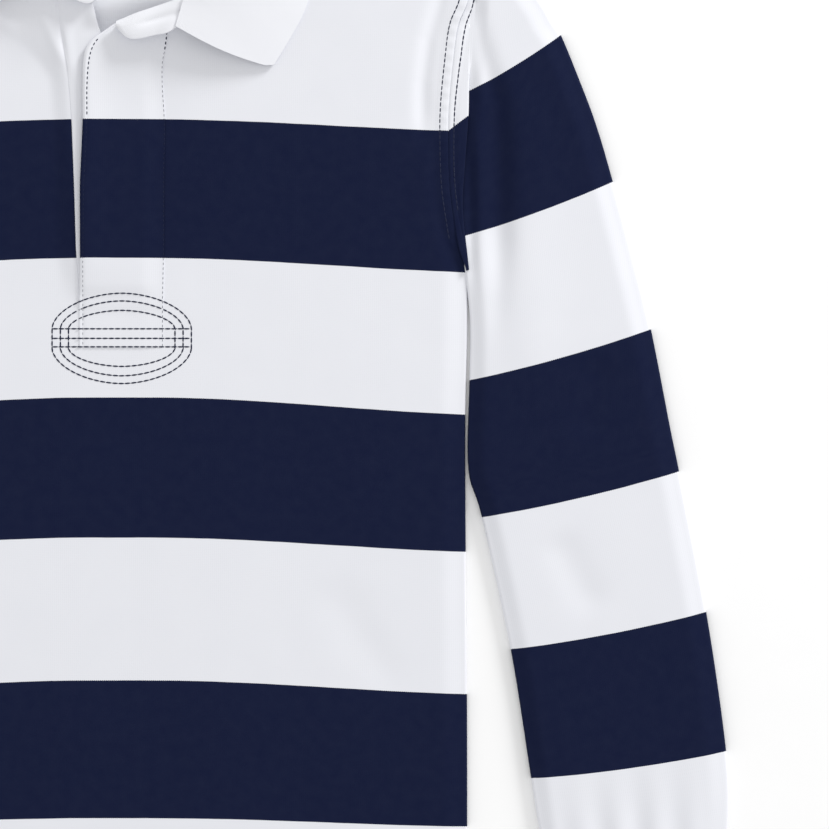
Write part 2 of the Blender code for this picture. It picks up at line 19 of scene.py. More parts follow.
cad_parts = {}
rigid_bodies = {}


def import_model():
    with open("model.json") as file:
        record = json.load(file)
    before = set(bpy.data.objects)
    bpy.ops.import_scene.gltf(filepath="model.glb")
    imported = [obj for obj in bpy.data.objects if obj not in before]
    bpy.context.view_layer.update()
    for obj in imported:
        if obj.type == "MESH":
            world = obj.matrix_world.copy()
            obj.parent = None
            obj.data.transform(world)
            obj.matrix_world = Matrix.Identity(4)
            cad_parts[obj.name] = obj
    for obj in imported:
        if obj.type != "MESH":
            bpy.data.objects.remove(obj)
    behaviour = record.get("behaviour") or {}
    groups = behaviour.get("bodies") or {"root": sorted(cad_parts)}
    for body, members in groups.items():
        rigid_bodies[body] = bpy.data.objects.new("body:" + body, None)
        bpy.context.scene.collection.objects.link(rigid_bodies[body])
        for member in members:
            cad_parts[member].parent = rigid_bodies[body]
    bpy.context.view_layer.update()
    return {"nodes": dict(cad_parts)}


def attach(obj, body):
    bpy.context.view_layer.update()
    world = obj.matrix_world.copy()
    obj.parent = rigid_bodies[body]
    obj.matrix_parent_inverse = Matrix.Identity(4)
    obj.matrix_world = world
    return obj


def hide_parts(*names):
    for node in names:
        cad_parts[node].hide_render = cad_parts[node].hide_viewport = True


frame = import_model()
print("nodes:", sorted(frame["nodes"]))

# %% [markdown]
# ## The cut
#
# A maker starts with a few sizes: the chest, the length, the neck and the placket. The other
# places on the body are worked out from them, with a short table where a curve needs it. The
# tables and formulas are the ones that the solids were built from, so each sheet lies where its
# solid is. Rows of cloth slope with the shoulder at the top and are level from the yoke line on.

# %% Sizes of the cut
CHEST = 0.376
BODY_LENGTH = 0.580
NECK = 0.144
NECK_DROP_BACK = 0.015
SHOULDER_DROP = 0.030
PLACKET_BOTTOM = 0.249
YOKE = 0.1251
HEM = 0.020
STRIPE = 0.0759

# How far up the floor the high shoulder point lies from the frame's origin.
TOP = 0.28182

# Thicknesses and heights of the cloth's layers.
JERSEY = 0.0008
TWILL_CLOTH = 0.0014
LAYER = 0.0012
SEAM_GAP = 0.0003
LOFT = 0.0017
NECK_LIFT = 0.0020
SLEEVE_EDGE = 0.0036
print(f"body: {CHEST * 1000:.0f} mm across and {BODY_LENGTH * 1000:.0f} mm long")

# %% Edges of the body
Edge = namedtuple("Edge", "across down")
BODY_EDGE = (
    Edge(0.1907, 0.0300),
    Edge(0.1885, 0.0598),
    Edge(0.1831, 0.0740),
    Edge(0.1803, 0.0936),
    Edge(0.1780, 0.1180),
    Edge(0.1777, 0.1400),
    Edge(0.1786, 0.1620),
    Edge(0.1812, 0.1810),
    Edge(0.1840, 0.1958),
    Edge(CHEST / 2, 0.2089),
    Edge(CHEST / 2 - 0.0010, 0.3000),
    Edge(CHEST / 2, 0.4500),
    Edge(CHEST / 2, BODY_LENGTH),
)
ARMPIT = BODY_EDGE[9]
FRONT_NECK = {
    "left": (
        Edge(0.0720, 0.0000),
        Edge(0.0690, 0.0220),
        Edge(0.0600, 0.0450),
        Edge(0.0430, 0.0660),
        Edge(0.0270, 0.0755),
        Edge(0.0180, 0.0800),
        Edge(0.0180, 0.1250),
        Edge(0.0180, PLACKET_BOTTOM),
    ),
    "right": (
        Edge(-0.0720, 0.0000),
        Edge(-0.0690, 0.0180),
        Edge(-0.0620, 0.0350),
        Edge(-0.0470, 0.0470),
        Edge(-0.0350, 0.0590),
        Edge(-0.0325, 0.0760),
        Edge(-0.0290, 0.0960),
        Edge(-0.0267, 0.1260),
        Edge(-0.0252, 0.1650),
        Edge(-0.0243, 0.1950),
        Edge(-0.0222, 0.2250),
        Edge(-0.0222, PLACKET_BOTTOM),
    ),
}

# %% [markdown]
# ## Reading the tables
#
# A table gives a curve at a few places. Between them a smooth curve passes through every row,
# and where a corner has to stay sharp, straight lines do. `smooth` is an S-shaped step, and
# `hump` a soft bell, from which every fold and seam below is made.

# %% Curves and steps
def smooth(t):
    t = min(max(t, 0.0), 1.0)
    return t * t * (3.0 - 2.0 * t)


def hump(off, width):
    return exp(-((off / width) ** 2))


def blend(a, b, t):
    return a + (b - a) * t


def spread(low, high, count):
    return [blend(low, high, i / count) for i in range(count + 1)]


def curve(table, key, value, where):
    keys = [getattr(row, key) for row in table]
    values = [getattr(row, value) for row in table]
    where = min(max(where, keys[0]), keys[-1])
    i = max(j for j in range(len(keys) - 1) if keys[j] <= where)
    slopes = []
    for j in (i, i + 1):
        low, high = max(j - 1, 0), min(j + 1, len(keys) - 1)
        slopes.append((values[high] - values[low]) / (keys[high] - keys[low]))
    step = keys[i + 1] - keys[i]
    t = (where - keys[i]) / step
    return (
        values[i] * (1 + 2 * t) * (1 - t) ** 2
        + slopes[0] * step * t * (1 - t) ** 2
        + values[i + 1] * t * t * (3 - 2 * t)
        + slopes[1] * step * t * t * (t - 1)
    )


def straight(table, key, value, where):
    for a, b in zip(table, table[1:]):
        if where <= getattr(b, key):
            t = (where - getattr(a, key)) / (getattr(b, key) - getattr(a, key))
            return blend(getattr(a, value), getattr(b, value), max(t, 0.0))
    return getattr(table[-1], value)


def row_at(table, at, read=curve):
    """A whole row between the rows of a table whose first column is `at`."""
    kind = type(table[0])
    return kind(at, *[read(table, "at", name, at) for name in kind._fields[1:]])


def place(across, down, up):
    return Vector((across, TOP - down, up))


print("a step at its middle:", smooth(0.5), "and a bell at its width:", round(hump(1.0, 1.0), 2))


# %% Rows of the body
def shoulder_down(across):
    slope = SHOULDER_DROP / (BODY_EDGE[0].across - NECK / 2)
    return max(0.0, abs(across) - NECK / 2) * slope


def down_at(across, level, start):
    return level + start * max(0.0, 1.0 - level / YOKE)


def level_of(across, down):
    start = shoulder_down(across)
    return down if down >= YOKE else (down - start) / (1.0 - start / YOKE)


def levels_of(edges):
    return [Edge(abs(e.across), level_of(e.across, e.down)) for e in edges]


EDGE_LEVELS = levels_of(BODY_EDGE)
NECK_LEVELS = {side: levels_of(edges) for side, edges in FRONT_NECK.items()}


@lru_cache(maxsize=None)
def edge_at(level):
    return curve(EDGE_LEVELS, "down", "across", level)


@lru_cache(maxsize=None)
def neck_at(side, level):
    edges = NECK_LEVELS[side]
    read = straight if level > edges[5].down else curve
    return read(edges, "down", "across", level)


print(f"half the chest at the armpit: {edge_at(ARMPIT.down) * 1000:.1f} mm")

# %% [markdown]
# ## Stripes
#
# The stripes are knitted in, so they follow the rows of the cloth and not the floor. The cloth
# is stretched a little over the chest, and the rows hang lower towards the side seams. Each
# stripe edge is given by its place at the centre front and by how far it drops at the side. A
# point's stripe number comes from the two edges around it, and it becomes the second coordinate
# of the cloth's map: white from an even number to the next, and navy from an odd one.

# %% Stripe numbers
StripeEdge = namedtuple("StripeEdge", "number down droop")
STRIPE_EDGES = (
    StripeEdge(-1.0, -0.0264, 0.0),
    StripeEdge(0.0, 0.0495, 0.0040),
    StripeEdge(1.0, 0.1254, 0.0068),
    StripeEdge(2.0, 0.2007, 0.0082),
    StripeEdge(3.0, 0.2764, 0.0098),
    StripeEdge(4.0, 0.3525, 0.0082),
    StripeEdge(5.0, 0.4300, 0.0079),
    StripeEdge(6.0, 0.5048, 0.0049),
    StripeEdge(7.0, 0.5807, 0.0010),
    StripeEdge(8.0, 0.6566, 0.0),
)
DROOP_START = 0.016
DROOP_REACH = 0.199


def stripe_number(across, down):
    share = smooth((abs(across) - DROOP_START) / DROOP_REACH)
    for a, b in zip(STRIPE_EDGES, STRIPE_EDGES[1:]):
        low, high = a.down + a.droop * share, b.down + b.droop * share
        if down <= high:
            return a.number + (down - low) / (high - low)
    return STRIPE_EDGES[-1].number


def on_body(across, down):
    """A point's place on the cloth's map."""
    return (across, stripe_number(across, down) * STRIPE)


print(f"stripe number beside the armpit: {stripe_number(ARMPIT.across, ARMPIT.down):.2f}")

# %% [markdown]
# ## Folds and relief
#
# Cloth that lies flat still shows soft ridges and troughs. Each one here is a path with a width
# and a height, and it fades out at both ends. The main ones are also in the solids. A slow
# unevenness is added so that no panel is a perfect plane.

# %% Folds
Fold = namedtuple("Fold", "piece width height path")
FOLDS = (
    Fold(
        "front",
        0.0042,
        -0.0017,
        ((0.1830, 0.030), (0.1735, 0.0600), (0.1672, 0.0816), (0.1642, 0.105), (0.1636, 0.150)),
    ),
    Fold("front", 0.0045, -0.0009, ((-0.1754, 0.045), (-0.1670, 0.082), (-0.1655, 0.135))),
    Fold("front", 0.0120, -0.0006, ((0.1107, 0.370), (0.1243, 0.397), (0.1515, 0.440))),
    Fold("front", 0.0140, -0.0006, ((-0.1020, 0.300), (-0.1243, 0.340), (-0.1600, 0.400))),
    Fold("front", 0.0030, 0.0006, ((-0.0460, 0.061), (-0.0395, 0.0745), (-0.0300, 0.099))),
    Fold("front", 0.0042, 0.0012, ((-0.0900, 0.050), (-0.0661, 0.0691), (-0.0530, 0.0812))),
    Fold("under", 0.0030, 0.0004, ((-0.0310, 0.062), (-0.0296, 0.0745), (-0.0250, 0.108))),
    Fold("over", 0.0110, 0.0013, ((-0.0120, 0.050), (-0.0205, 0.090), (-0.0215, 0.232))),
    Fold("under", 0.0055, 0.0020, ((-0.0150, 0.045), (-0.0140, 0.062), (-0.0130, 0.078))),
    Fold("back", 0.0075, 0.0027, ((-0.0500, 0.072), (-0.0050, 0.062), (0.0450, 0.052))),
    Fold(
        "sleeve",
        0.0062,
        -0.0017,
        (
            (0.1840, 0.030),
            (0.1914, 0.0734),
            (0.1956, 0.0870),
            (0.1994, 0.0990),
            (0.2048, 0.1142),
            (0.2062, 0.1360),
            (0.2068, 0.1904),
            (0.2048, 0.2176),
            (0.2030, 0.2600),
        ),
    ),
    Fold("sleeve", 0.0160, 0.0010, ((0.2150, 0.080), (0.2200, 0.150), (0.2230, 0.300))),
    Fold(
        "sleeve",
        0.0087,
        -0.0019,
        ((0.1960, 0.095), (0.2010, 0.136), (0.2016, 0.190), (0.2000, 0.220)),
    ),
    Fold("sleeve", 0.0040, -0.0034, ((0.1878, 0.130), (0.1890, 0.170), (0.1896, 0.228))),
    Fold("sleeve", 0.0100, -0.0008, ((0.2620, 0.250), (0.2500, 0.300))),
    Fold("sleeve", 0.0100, -0.0009, ((0.2330, 0.345), (0.2600, 0.395))),
)


def fold_height(piece, across, down):
    total = 0.0
    for fold in FOLDS:
        if fold.piece != piece:
            continue
        runs = list(zip(fold.path, fold.path[1:]))
        lengths = [hypot(b[0] - a[0], b[1] - a[1]) for a, b in runs]
        nearest, along, passed = 1.0, 0.0, 0.0
        for (a, b), length in zip(runs, lengths):
            t = ((across - a[0]) * (b[0] - a[0]) + (down - a[1]) * (b[1] - a[1])) / length**2
            t = min(max(t, 0.0), 1.0)
            off = hypot(across - blend(a[0], b[0], t), down - blend(a[1], b[1], t))
            if off < nearest:
                nearest, along = off, passed + t * length
            passed += length
        if nearest < 3.0 * fold.width:
            fade = smooth(along / passed * 3.5) * smooth((passed - along) / passed * 3.5)
            total += fold.height * hump(nearest, fold.width) * fade
    return total


def unevenness(across, down, seed=0.0):
    """A slow rise and fall of the cloth, the same in every run."""
    slow = noise.noise(Vector((across * 14.0, down * 9.0, seed)))
    quick = noise.noise(Vector((across * 55.0, down * 38.0, seed + 7.0)))
    return 0.00030 * slow + 0.00007 * quick


print("folds:", len(FOLDS))

# %% [markdown]
# ## Heights of the layers
#
# The back lies on the floor, lifted a little where the collar is turned under it. The front lies
# on the back with some air between them, meets it at the side seams, and climbs to the collar's
# seam at the neck. On the right it also climbs to the placket's open edge. Each height is a sum
# of soft steps, given as where the step starts and how far it reaches.

# %% Heights of back and front
LIFTED_HALF_WIDTH = 0.095
LIFTED_DEPTH = 0.046
RIGHT_RISE = 0.0034
LEFT_RISE = 0.0015
SLIT_END = 0.225


def back_lift(across, down):
    past_side = smooth((abs(across) - LIFTED_HALF_WIDTH) / 0.045)
    past_edge = smooth((down - LIFTED_DEPTH) / 0.040)
    return NECK_LIFT * (1.0 - past_side) * (1.0 - past_edge)


def neck_rise(across, down):
    """The front climbs to the collar's seam, and on the right also to the placket's edge."""
    if down > SLIT_END:
        return 0.0
    near_neck = smooth((0.130 - down) / 0.070)
    side = "left" if across > 0.0 else "right"
    from_neck = abs(across) - neck_at(side, level_of(across, down))
    reach = blend(0.011, 0.034, smooth((0.105 - down) / 0.035))
    right = RIGHT_RISE * blend(0.45, 1.0, near_neck) * smooth((SLIT_END - down) / 0.028)
    right *= smooth(1.0 - from_neck / reach)
    left = LEFT_RISE * near_neck * smooth(1.0 - from_neck / 0.034)
    return blend(right, left, smooth((across + 0.030) / 0.055))


def placket_seam_dip(across, down):
    """The groove where the lower strip is sewn to the wearer's right front."""
    off = across + neck_at("right", level_of(across, down))
    if across > 0.0:
        return 0.0
    return blend(0.0001, 0.0005, smooth((0.098 - down) / 0.015)) * hump(off, 0.0012)


def front_height(across, down):
    """The front's outer face with its folds and its climb at the neck."""
    level = level_of(across, down)
    from_side = (edge_at(level) - abs(across)) / 0.014
    open_side = 1.0 - smooth((down - 0.175) / 0.034)
    rise = max(smooth(from_side), 0.7 * open_side)
    rise *= smooth((level + 0.004) / 0.030) * smooth((BODY_LENGTH + 0.006 - down) / 0.016)
    room = 1.0 - 0.75 * back_lift(across, down) / NECK_LIFT
    loft = LOFT * rise * room + fold_height("front", across, down) * smooth(rise)
    lowest = back_lift(across, down) + 2 * LAYER + SEAM_GAP
    return lowest + max(loft, 0.0) + neck_rise(across, down)


print(f"the front beside the placket lies {front_height(0.05, 0.20) * 1000:.1f} mm up")

# %% [markdown]
# ## Armhole relief
#
# The armhole seam is sewn flat with two needle rows, 4.5 mm to either side of it. The turned-in
# cloth makes a raised band between the rows, the seam itself is a small ditch, and the tight
# thread pinches and puckers the band. The same formula serves the body and the sleeve, so that
# the two sides match where they meet.

# %% Seam relief
NEEDLE_OFF = 0.0045
RAISED = 0.0005
DITCH_DEPTH = 0.00015
PINCH_DEPTH = 0.00032
PUCKER_HEIGHT = 0.00018
PUCKER_LENGTH = 0.0068


def seam_relief(off, along):
    raised = RAISED * smooth((NEEDLE_OFF + 0.0016 - off) / 0.0014)
    ditch = DITCH_DEPTH * hump(off, 0.0006)
    pinch = PINCH_DEPTH * hump(off - NEEDLE_OFF, 0.0007)
    wave = sin(2 * pi * along / PUCKER_LENGTH)
    pucker = PUCKER_HEIGHT * wave * hump(off - 0.0024, 0.0020)
    return raised - ditch - pinch + pucker


print(f"the raised seam stands {seam_relief(0.002, 0.0) * 1000:.2f} mm above the cloth")

# %% Front with its relief
DIP_END = 0.222
RELIEF_REACH = 0.012
RELIEF_END = 0.195
HEM_STEP = 0.0004
HEM_DITCH = 0.00025


def front_top(across, down):
    """The front's outer face with its seam relief and unevenness."""
    height = front_height(across, down) + unevenness(across, down)
    if down < DIP_END:
        height -= placket_seam_dip(across, down)
    off = edge_at(level_of(across, down)) - abs(across)
    if off < RELIEF_REACH and down < ARMPIT.down:
        height += seam_relief(off, down) * (1.0 - smooth((down - RELIEF_END) / 0.014))
    into_hem = down - (BODY_LENGTH - HEM)
    if into_hem > -0.004:
        height += HEM_STEP * smooth(into_hem / 0.0012) - HEM_DITCH * hump(into_hem, 0.0009)
    return height


print(f"the front's lower edge lies {front_top(0.09, BODY_LENGTH) * 1000:.1f} mm up")

# %% [markdown]
# ## A sheet of cloth
#
# Every panel starts as Blender's grid primitive. A formula then puts each of its points in
# place, and gives the point's place on the cloth, which is kept as the piece's map for the
# stripes and the knit. Solidify turns the sheet into a thin shell. A cloth simulation could do
# the folding, but the photograph shows exactly where each fold lies, so placing them one by one
# comes closer.

# %% Cloth maker
def cloth(name, columns, rows, place_at):
    bpy.ops.object.select_all(action="DESELECT")
    bpy.ops.mesh.primitive_grid_add(x_subdivisions=columns, y_subdivisions=rows, size=1.0)
    piece = bpy.context.object
    piece.name = name
    mesh = piece.data
    mesh.name = name
    on_map = []
    for vert in mesh.vertices:
        column = round((vert.co.x + 0.5) * columns)
        row = round((vert.co.y + 0.5) * rows)
        vert.co, spot = place_at(column, row)
        on_map.append(spot)
    cloth_map = mesh.uv_layers[0]
    cloth_map.name = "cloth"
    for loop in mesh.loops:
        cloth_map.data[loop.index].uv = on_map[loop.vertex_index]
    mesh.update()
    return piece


# %% Cutting, closing and turning a sheet
def delete_faces(piece, unwanted):
    """Deletes the faces whose centre passes a test."""
    bpy.ops.object.mode_set(mode="EDIT")
    bpy.ops.mesh.select_all(action="DESELECT")
    bpy.ops.mesh.select_mode(type="FACE")
    bpy.ops.object.mode_set(mode="OBJECT")
    for face in piece.data.polygons:
        face.select = unwanted(face.center)
    bpy.ops.object.mode_set(mode="EDIT")
    bpy.ops.mesh.delete(type="FACE")
    bpy.ops.object.mode_set(mode="OBJECT")


def on_whole_mesh(operator, **settings):
    """Selects everything in edit mode and runs one operator on it."""
    bpy.ops.object.mode_set(mode="EDIT")
    bpy.ops.mesh.select_all(action="SELECT")
    operator(**settings)
    bpy.ops.object.mode_set(mode="OBJECT")


def close_up():
    """Merges points that lie on each other, as along a tube's closing seam."""
    on_whole_mesh(bpy.ops.mesh.remove_doubles, threshold=0.00002)


def turn_out(piece):
    """Makes the highest face look up, and with it all the others look out."""
    highest = max(piece.data.polygons, key=lambda face: face.center.z)
    if highest.normal.z < 0.0:
        on_whole_mesh(bpy.ops.mesh.flip_normals)


# %% Wall and dressing
SHARP_ANGLE = 0.9


def thicken(piece, thickness, offset=-1.0):
    turn_out(piece)
    shell = piece.modifiers.new("wall", "SOLIDIFY")
    shell.thickness = thickness
    shell.offset = offset
    shell.use_even_offset = False
    bpy.ops.object.modifier_apply(modifier=shell.name)
    bpy.ops.object.shade_smooth_by_angle(angle=SHARP_ANGLE)


def surface(piece):
    """Half of a shell's surface, which is the cloth that it took."""
    return sum(face.area for face in piece.data.polygons) / 2


def dress(piece, nodes, finish):
    """Lets a piece stand for its CAD nodes, with its body and material."""
    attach(piece, "root")
    if nodes:
        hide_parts(*nodes)
    piece.data.materials.clear()
    piece.data.materials.append(finish)
    faces = len(piece.data.polygons)
    print(f"{piece.name}: {faces} faces, {surface(piece) * 1e4:.0f} square cm of cloth")
    return piece


# %% [markdown]
# ## Materials
#
# Shader maths is easier to read as Python expressions than as rows of nodes. `Value` wraps one
# socket, and each operator adds the Math node that it names. `Finish` starts a material and adds
# any other node: its settings first, and then the values or links of its sockets.

# %% Value
class Value:
    def __init__(self, finish, socket):
        self.finish = finish
        self.socket = socket

    def output(self, number):
        return Value(self.finish, self.socket.node.outputs[number])

    def maths(self, operation, *numbers):
        return self.finish.node(
            "ShaderNodeMath", {"operation": operation}, dict(enumerate(numbers))
        )

    def __add__(self, other):
        return self.maths("ADD", self, other)

    def __radd__(self, other):
        return self.maths("ADD", other, self)

    def __sub__(self, other):
        return self.maths("SUBTRACT", self, other)

    def __rsub__(self, other):
        return self.maths("SUBTRACT", other, self)

    def __mul__(self, other):
        return self.maths("MULTIPLY", self, other)

    def __rmul__(self, other):
        return self.maths("MULTIPLY", other, self)

    def __truediv__(self, other):
        return self.maths("DIVIDE", self, other)

    def __gt__(self, other):
        return self.maths("GREATER_THAN", self, other)

    def fraction(self):
        return self.maths("FRACT", self)

    def size(self):
        return self.maths("ABSOLUTE", self)

    def sine(self):
        return self.maths("SINE", self)


# %% Finish
class Finish:
    def __init__(self, name):
        self.material = bpy.data.materials.new(name)
        self.material.use_nodes = True
        self.tree = self.material.node_tree
        self.shader = self.tree.nodes["Principled BSDF"]

    def fill(self, node, inputs):
        for key, value in inputs.items():
            if isinstance(value, Value):
                self.tree.links.new(value.socket, node.inputs[key])
            else:
                node.inputs[key].default_value = value

    def node(self, kind, settings=None, inputs=None, output=0):
        made = self.tree.nodes.new(kind)
        for key, value in (settings or {}).items():
            setattr(made, key, value)
        self.fill(made, inputs or {})
        return Value(self, made.outputs[output])

    def mix(self, share, first, second):
        return self.node(
            "ShaderNodeMix", {"data_type": "RGBA"}, {0: share, 6: first, 7: second}, output=2
        )

    def parts(self, vector):
        """The first part of a vector, whose outputs 1 and 2 are the others."""
        return self.node("ShaderNodeSeparateXYZ", inputs={0: vector})

    def noise(self, where, scale, detail=2.0):
        inputs = {"Vector": where, "Scale": scale, "Detail": detail}
        return self.node("ShaderNodeTexNoise", inputs=inputs)

    def bump(self, height, distance, strength=1.0):
        return self.node(
            "ShaderNodeBump",
            inputs={"Height": height, "Distance": distance, "Strength": strength},
        )

    def finish(self, **inputs):
        named = {key.replace("_", " "): value for key, value in inputs.items()}
        self.fill(self.shader, named)
        return self.material


# %% [markdown]
# ## Rugby jersey
#
# A rugby shirt is knitted from thick cotton. From close by, its face shows columns of small V
# shapes. The pattern is worked out from the cloth's map, so it bends with the stripes. A stripe
# changes colour from one knitted row to the next, so its edge steps up and down with the Vs. The
# cotton has no shine, and a light fuzz makes the navy a little uneven.

# %% Jersey
WHITE = (0.800, 0.808, 0.850, 1.0)
WHITE_SHADE = (0.765, 0.775, 0.822, 1.0)
NAVY = (0.0060, 0.0095, 0.0355, 1.0)
NAVY_FUZZ = (0.0115, 0.0160, 0.0440, 1.0)
WALE = 0.0011
COURSE = 0.0009


def jersey(name, striped):
    finish = Finish(name)
    on_map = finish.node("ShaderNodeUVMap", {"uv_map": "cloth"})
    across = finish.parts(on_map)
    along = across.output(1)
    wale = (across / WALE).fraction()
    arm = (wale - 0.5).size()
    column = (wale * pi).sine()
    loop = ((along / COURSE + arm * 0.9) * (2 * pi)).sine()
    knit = column * 0.6 + loop * 0.25
    cloudy = finish.noise(on_map, 45.0, 3.0)
    mottled = finish.noise(on_map, 150.0, 2.0)
    fuzz = finish.noise(on_map, 900.0, 2.0)
    colour = finish.mix(cloudy * 0.8, WHITE, WHITE_SHADE)
    if striped:
        navy = finish.mix(fuzz * 0.4 + mottled * 0.8 - 0.2, NAVY, NAVY_FUZZ)
        ragged = along + arm * (COURSE * 0.6) + cloudy * 0.0004
        mask = (ragged / (2 * STRIPE)).fraction() > 0.5
        colour = finish.mix(mask, colour, navy)
    return finish.finish(
        Base_Color=colour,
        Roughness=0.82 + fuzz * 0.12,
        Normal=finish.bump(knit + fuzz * 0.8, 0.00006, 0.35),
        Specular_IOR_Level=0.05,
        Sheen_Weight=0.02,
        Sheen_Roughness=0.5,
    )


STRIPED = jersey("striped_jersey", striped=True)
PLAIN = jersey("plain_jersey", striped=False)
print(f"a stripe takes {STRIPE / COURSE:.0f} rows of knitting")

# %% [markdown]
# ## Twill, rib and thread
#
# The collar is woven cotton twill, whose diagonal lines are finer than the knit. The cuffs are a
# ribbed knit. The stitches are navy thread of two plies, whose twist shows as fine bands across
# the stitch.

# %% Twill, rib and thread
TWILL_WHITE = (0.835, 0.842, 0.880, 1.0)
TWILL_LINE = 0.0007
TWIST = 0.0005


def twill(name):
    finish = Finish(name)
    on_map = finish.node("ShaderNodeUVMap", {"uv_map": "cloth"})
    across = finish.parts(on_map)
    line = ((across + across.output(1)) * (2 * pi / TWILL_LINE)).sine()
    cloudy = finish.noise(on_map, 60.0, 3.0)
    fine = finish.noise(on_map, 1400.0, 2.0)
    return finish.finish(
        Base_Color=finish.mix(cloudy * 0.7, TWILL_WHITE, WHITE),
        Roughness=0.78 + fine * 0.14,
        Normal=finish.bump(line * 0.35 + fine * 0.6, 0.00008, 0.5),
        Specular_IOR_Level=0.15,
        Sheen_Weight=0.05,
    )


def thread(name, colour, highlight):
    finish = Finish(name)
    where = finish.node("ShaderNodeTexCoord", output=3)
    across = finish.parts(where)
    twist = ((across + across.output(1)) * (2 * pi / TWIST)).sine()
    fine = finish.noise(where, 700.0, 1.0)
    return finish.finish(
        Base_Color=finish.mix(fine * 0.6 + twist * 0.1, colour, highlight),
        Roughness=0.60 + fine * 0.2,
        Normal=finish.bump(twist, 0.00005, 0.5),
        Specular_IOR_Level=0.25,
    )


TWILL = twill("white_twill")
RIB = jersey("white_rib", striped=False)
NAVY_THREAD = thread("navy_thread", (0.007, 0.011, 0.038, 1.0), (0.015, 0.020, 0.050, 1.0))
print("finishes:", [finish.name for finish in (STRIPED, PLAIN, TWILL, RIB, NAVY_THREAD)])

# %% [markdown]
# ## Back
#
# The back is one panel from the shoulders to the hem. It lies on the floor, and only its neck
# rises where the collar is turned under it. Mostly the front hides it, so its grid is coarser.

# %% Back panel
LEVELS = (
    spread(0.0, YOKE, 60)
    + spread(YOKE, ARMPIT.down, 38)[1:]
    + spread(ARMPIT.down, PLACKET_BOTTOM, 18)[1:]
    + spread(PLACKET_BOTTOM, BODY_LENGTH - HEM - 0.002, 100)[1:]
    + spread(BODY_LENGTH - HEM - 0.002, BODY_LENGTH, 14)[1:]
)
BACK_COLUMNS = 120
BACK_LEVELS = LEVELS[::2]


def back_place(column, row):
    level = BACK_LEVELS[row]
    across = edge_at(level) * (2.0 * column / BACK_COLUMNS - 1.0)
    share = min(abs(across) / (NECK / 2), 1.0)
    neck = NECK_DROP_BACK * (1.0 - share**2) ** 0.6
    down = down_at(across, level, max(shoulder_down(across), neck))
    top = back_lift(across, down) + JERSEY + fold_height("back", across, down)
    return place(across, down, top), on_body(across, down)


back = cloth("back_jersey", BACK_COLUMNS, len(BACK_LEVELS) - 1, back_place)
thicken(back, JERSEY)
dress(back, ["back"], STRIPED)

# %% [markdown]
# ## Front
#
# The front is one panel too, with a slash down to the placket's lower end. Its columns follow the
# neck and the slash on one side and the armhole and side seam on the other. They lie closer
# together near both, where the relief is finer. The outermost columns roll down over the edge,
# so that the shirt's side reads as a seam and not as a cut sheet.

# %% Front panel
SIDE_COLUMNS = 72
SLASH_COLUMNS = 6
ROLL_COLUMNS = 4
ROLL_REACH = 0.0012
NEAR_EDGES = [0.35 * s + 0.65 * smooth(s) for s in spread(0.0, 1.0, SIDE_COLUMNS)]


@lru_cache(maxsize=None)
def front_row(level):
    """The places across of one row, each with its share of the roll over the edge."""
    edge = edge_at(level)
    left, right = neck_at("left", level), neck_at("right", level)
    rolled = [
        (edge - ROLL_REACH * (1.0 - sin(turn * pi / 2)), turn)
        for turn in spread(0.0, 1.0, ROLL_COLUMNS)[1:]
    ]
    inner_edge = edge - ROLL_REACH
    line = [(-across, turn) for across, turn in reversed(rolled)]
    line += [(-blend(right, inner_edge, s), 0.0) for s in reversed(NEAR_EDGES)]
    line += [(across, 0.0) for across in spread(-right, left, SLASH_COLUMNS)[1:-1]]
    line += [(blend(left, inner_edge, s), 0.0) for s in NEAR_EDGES]
    return line + rolled


def edge_drop(down):
    """How far the front rolls down at its edge: hardly at the armhole, more at the side."""
    return blend(0.0001, 0.0016, smooth((down - 0.203) / 0.012))


def front_place(column, row):
    level = LEVELS[row]
    across, turn = front_row(level)[column]
    down = down_at(across, level, shoulder_down(across))
    top = front_top(across, down) - edge_drop(down) * (1.0 - cos(turn * pi / 2))
    return place(across, down, top), on_body(across, down)


columns = len(front_row(LEVELS[0])) - 1
front = cloth("front_jersey", columns, len(LEVELS) - 1, front_place)


def in_slash(centre):
    down = TOP - centre.y
    if down > PLACKET_BOTTOM:
        return False
    level = level_of(centre.x, down)
    return -neck_at("right", level) < centre.x < neck_at("left", level)


delete_faces(front, in_slash)
thicken(front, JERSEY)
dress(front, ["front"], STRIPED)

# %% [markdown]
# ## Plackets
#
# The placket is the opening down from the neck. The strip on top is striped like the body, has
# one free edge and one edge sewn down, and its top corner turns back. Under it lies a plain
# white strip, sewn to the wearer's right front, which shows as a narrow line in the gap.

# %% Placket tables
Strip = namedtuple("Strip", "down low_x stitch_x high_x")
OVER = (
    Strip(0.0735, -0.0032, -0.0004, 0.0258),
    Strip(0.0770, -0.0081, -0.0054, 0.0256),
    Strip(0.0805, -0.0131, -0.0105, 0.0253),
    Strip(0.0835, -0.0161, -0.0134, 0.0249),
    Strip(0.0880, -0.0189, -0.0156, 0.0242),
    Strip(0.0950, -0.0201, -0.0171, 0.0230),
    Strip(0.1080, -0.0204, -0.0180, 0.0230),
    Strip(0.1250, -0.0204, -0.0181, 0.0240),
    Strip(0.1510, -0.0215, -0.0192, 0.0237),
    Strip(0.1620, -0.0219, -0.0198, 0.0236),
    Strip(0.2000, -0.0219, -0.0203, 0.0235),
    Strip(0.2230, -0.0223, -0.0205, 0.0231),
    Strip(PLACKET_BOTTOM, -0.0223, -0.0206, 0.0230),
)
Facing = namedtuple("Facing", "down high_x")
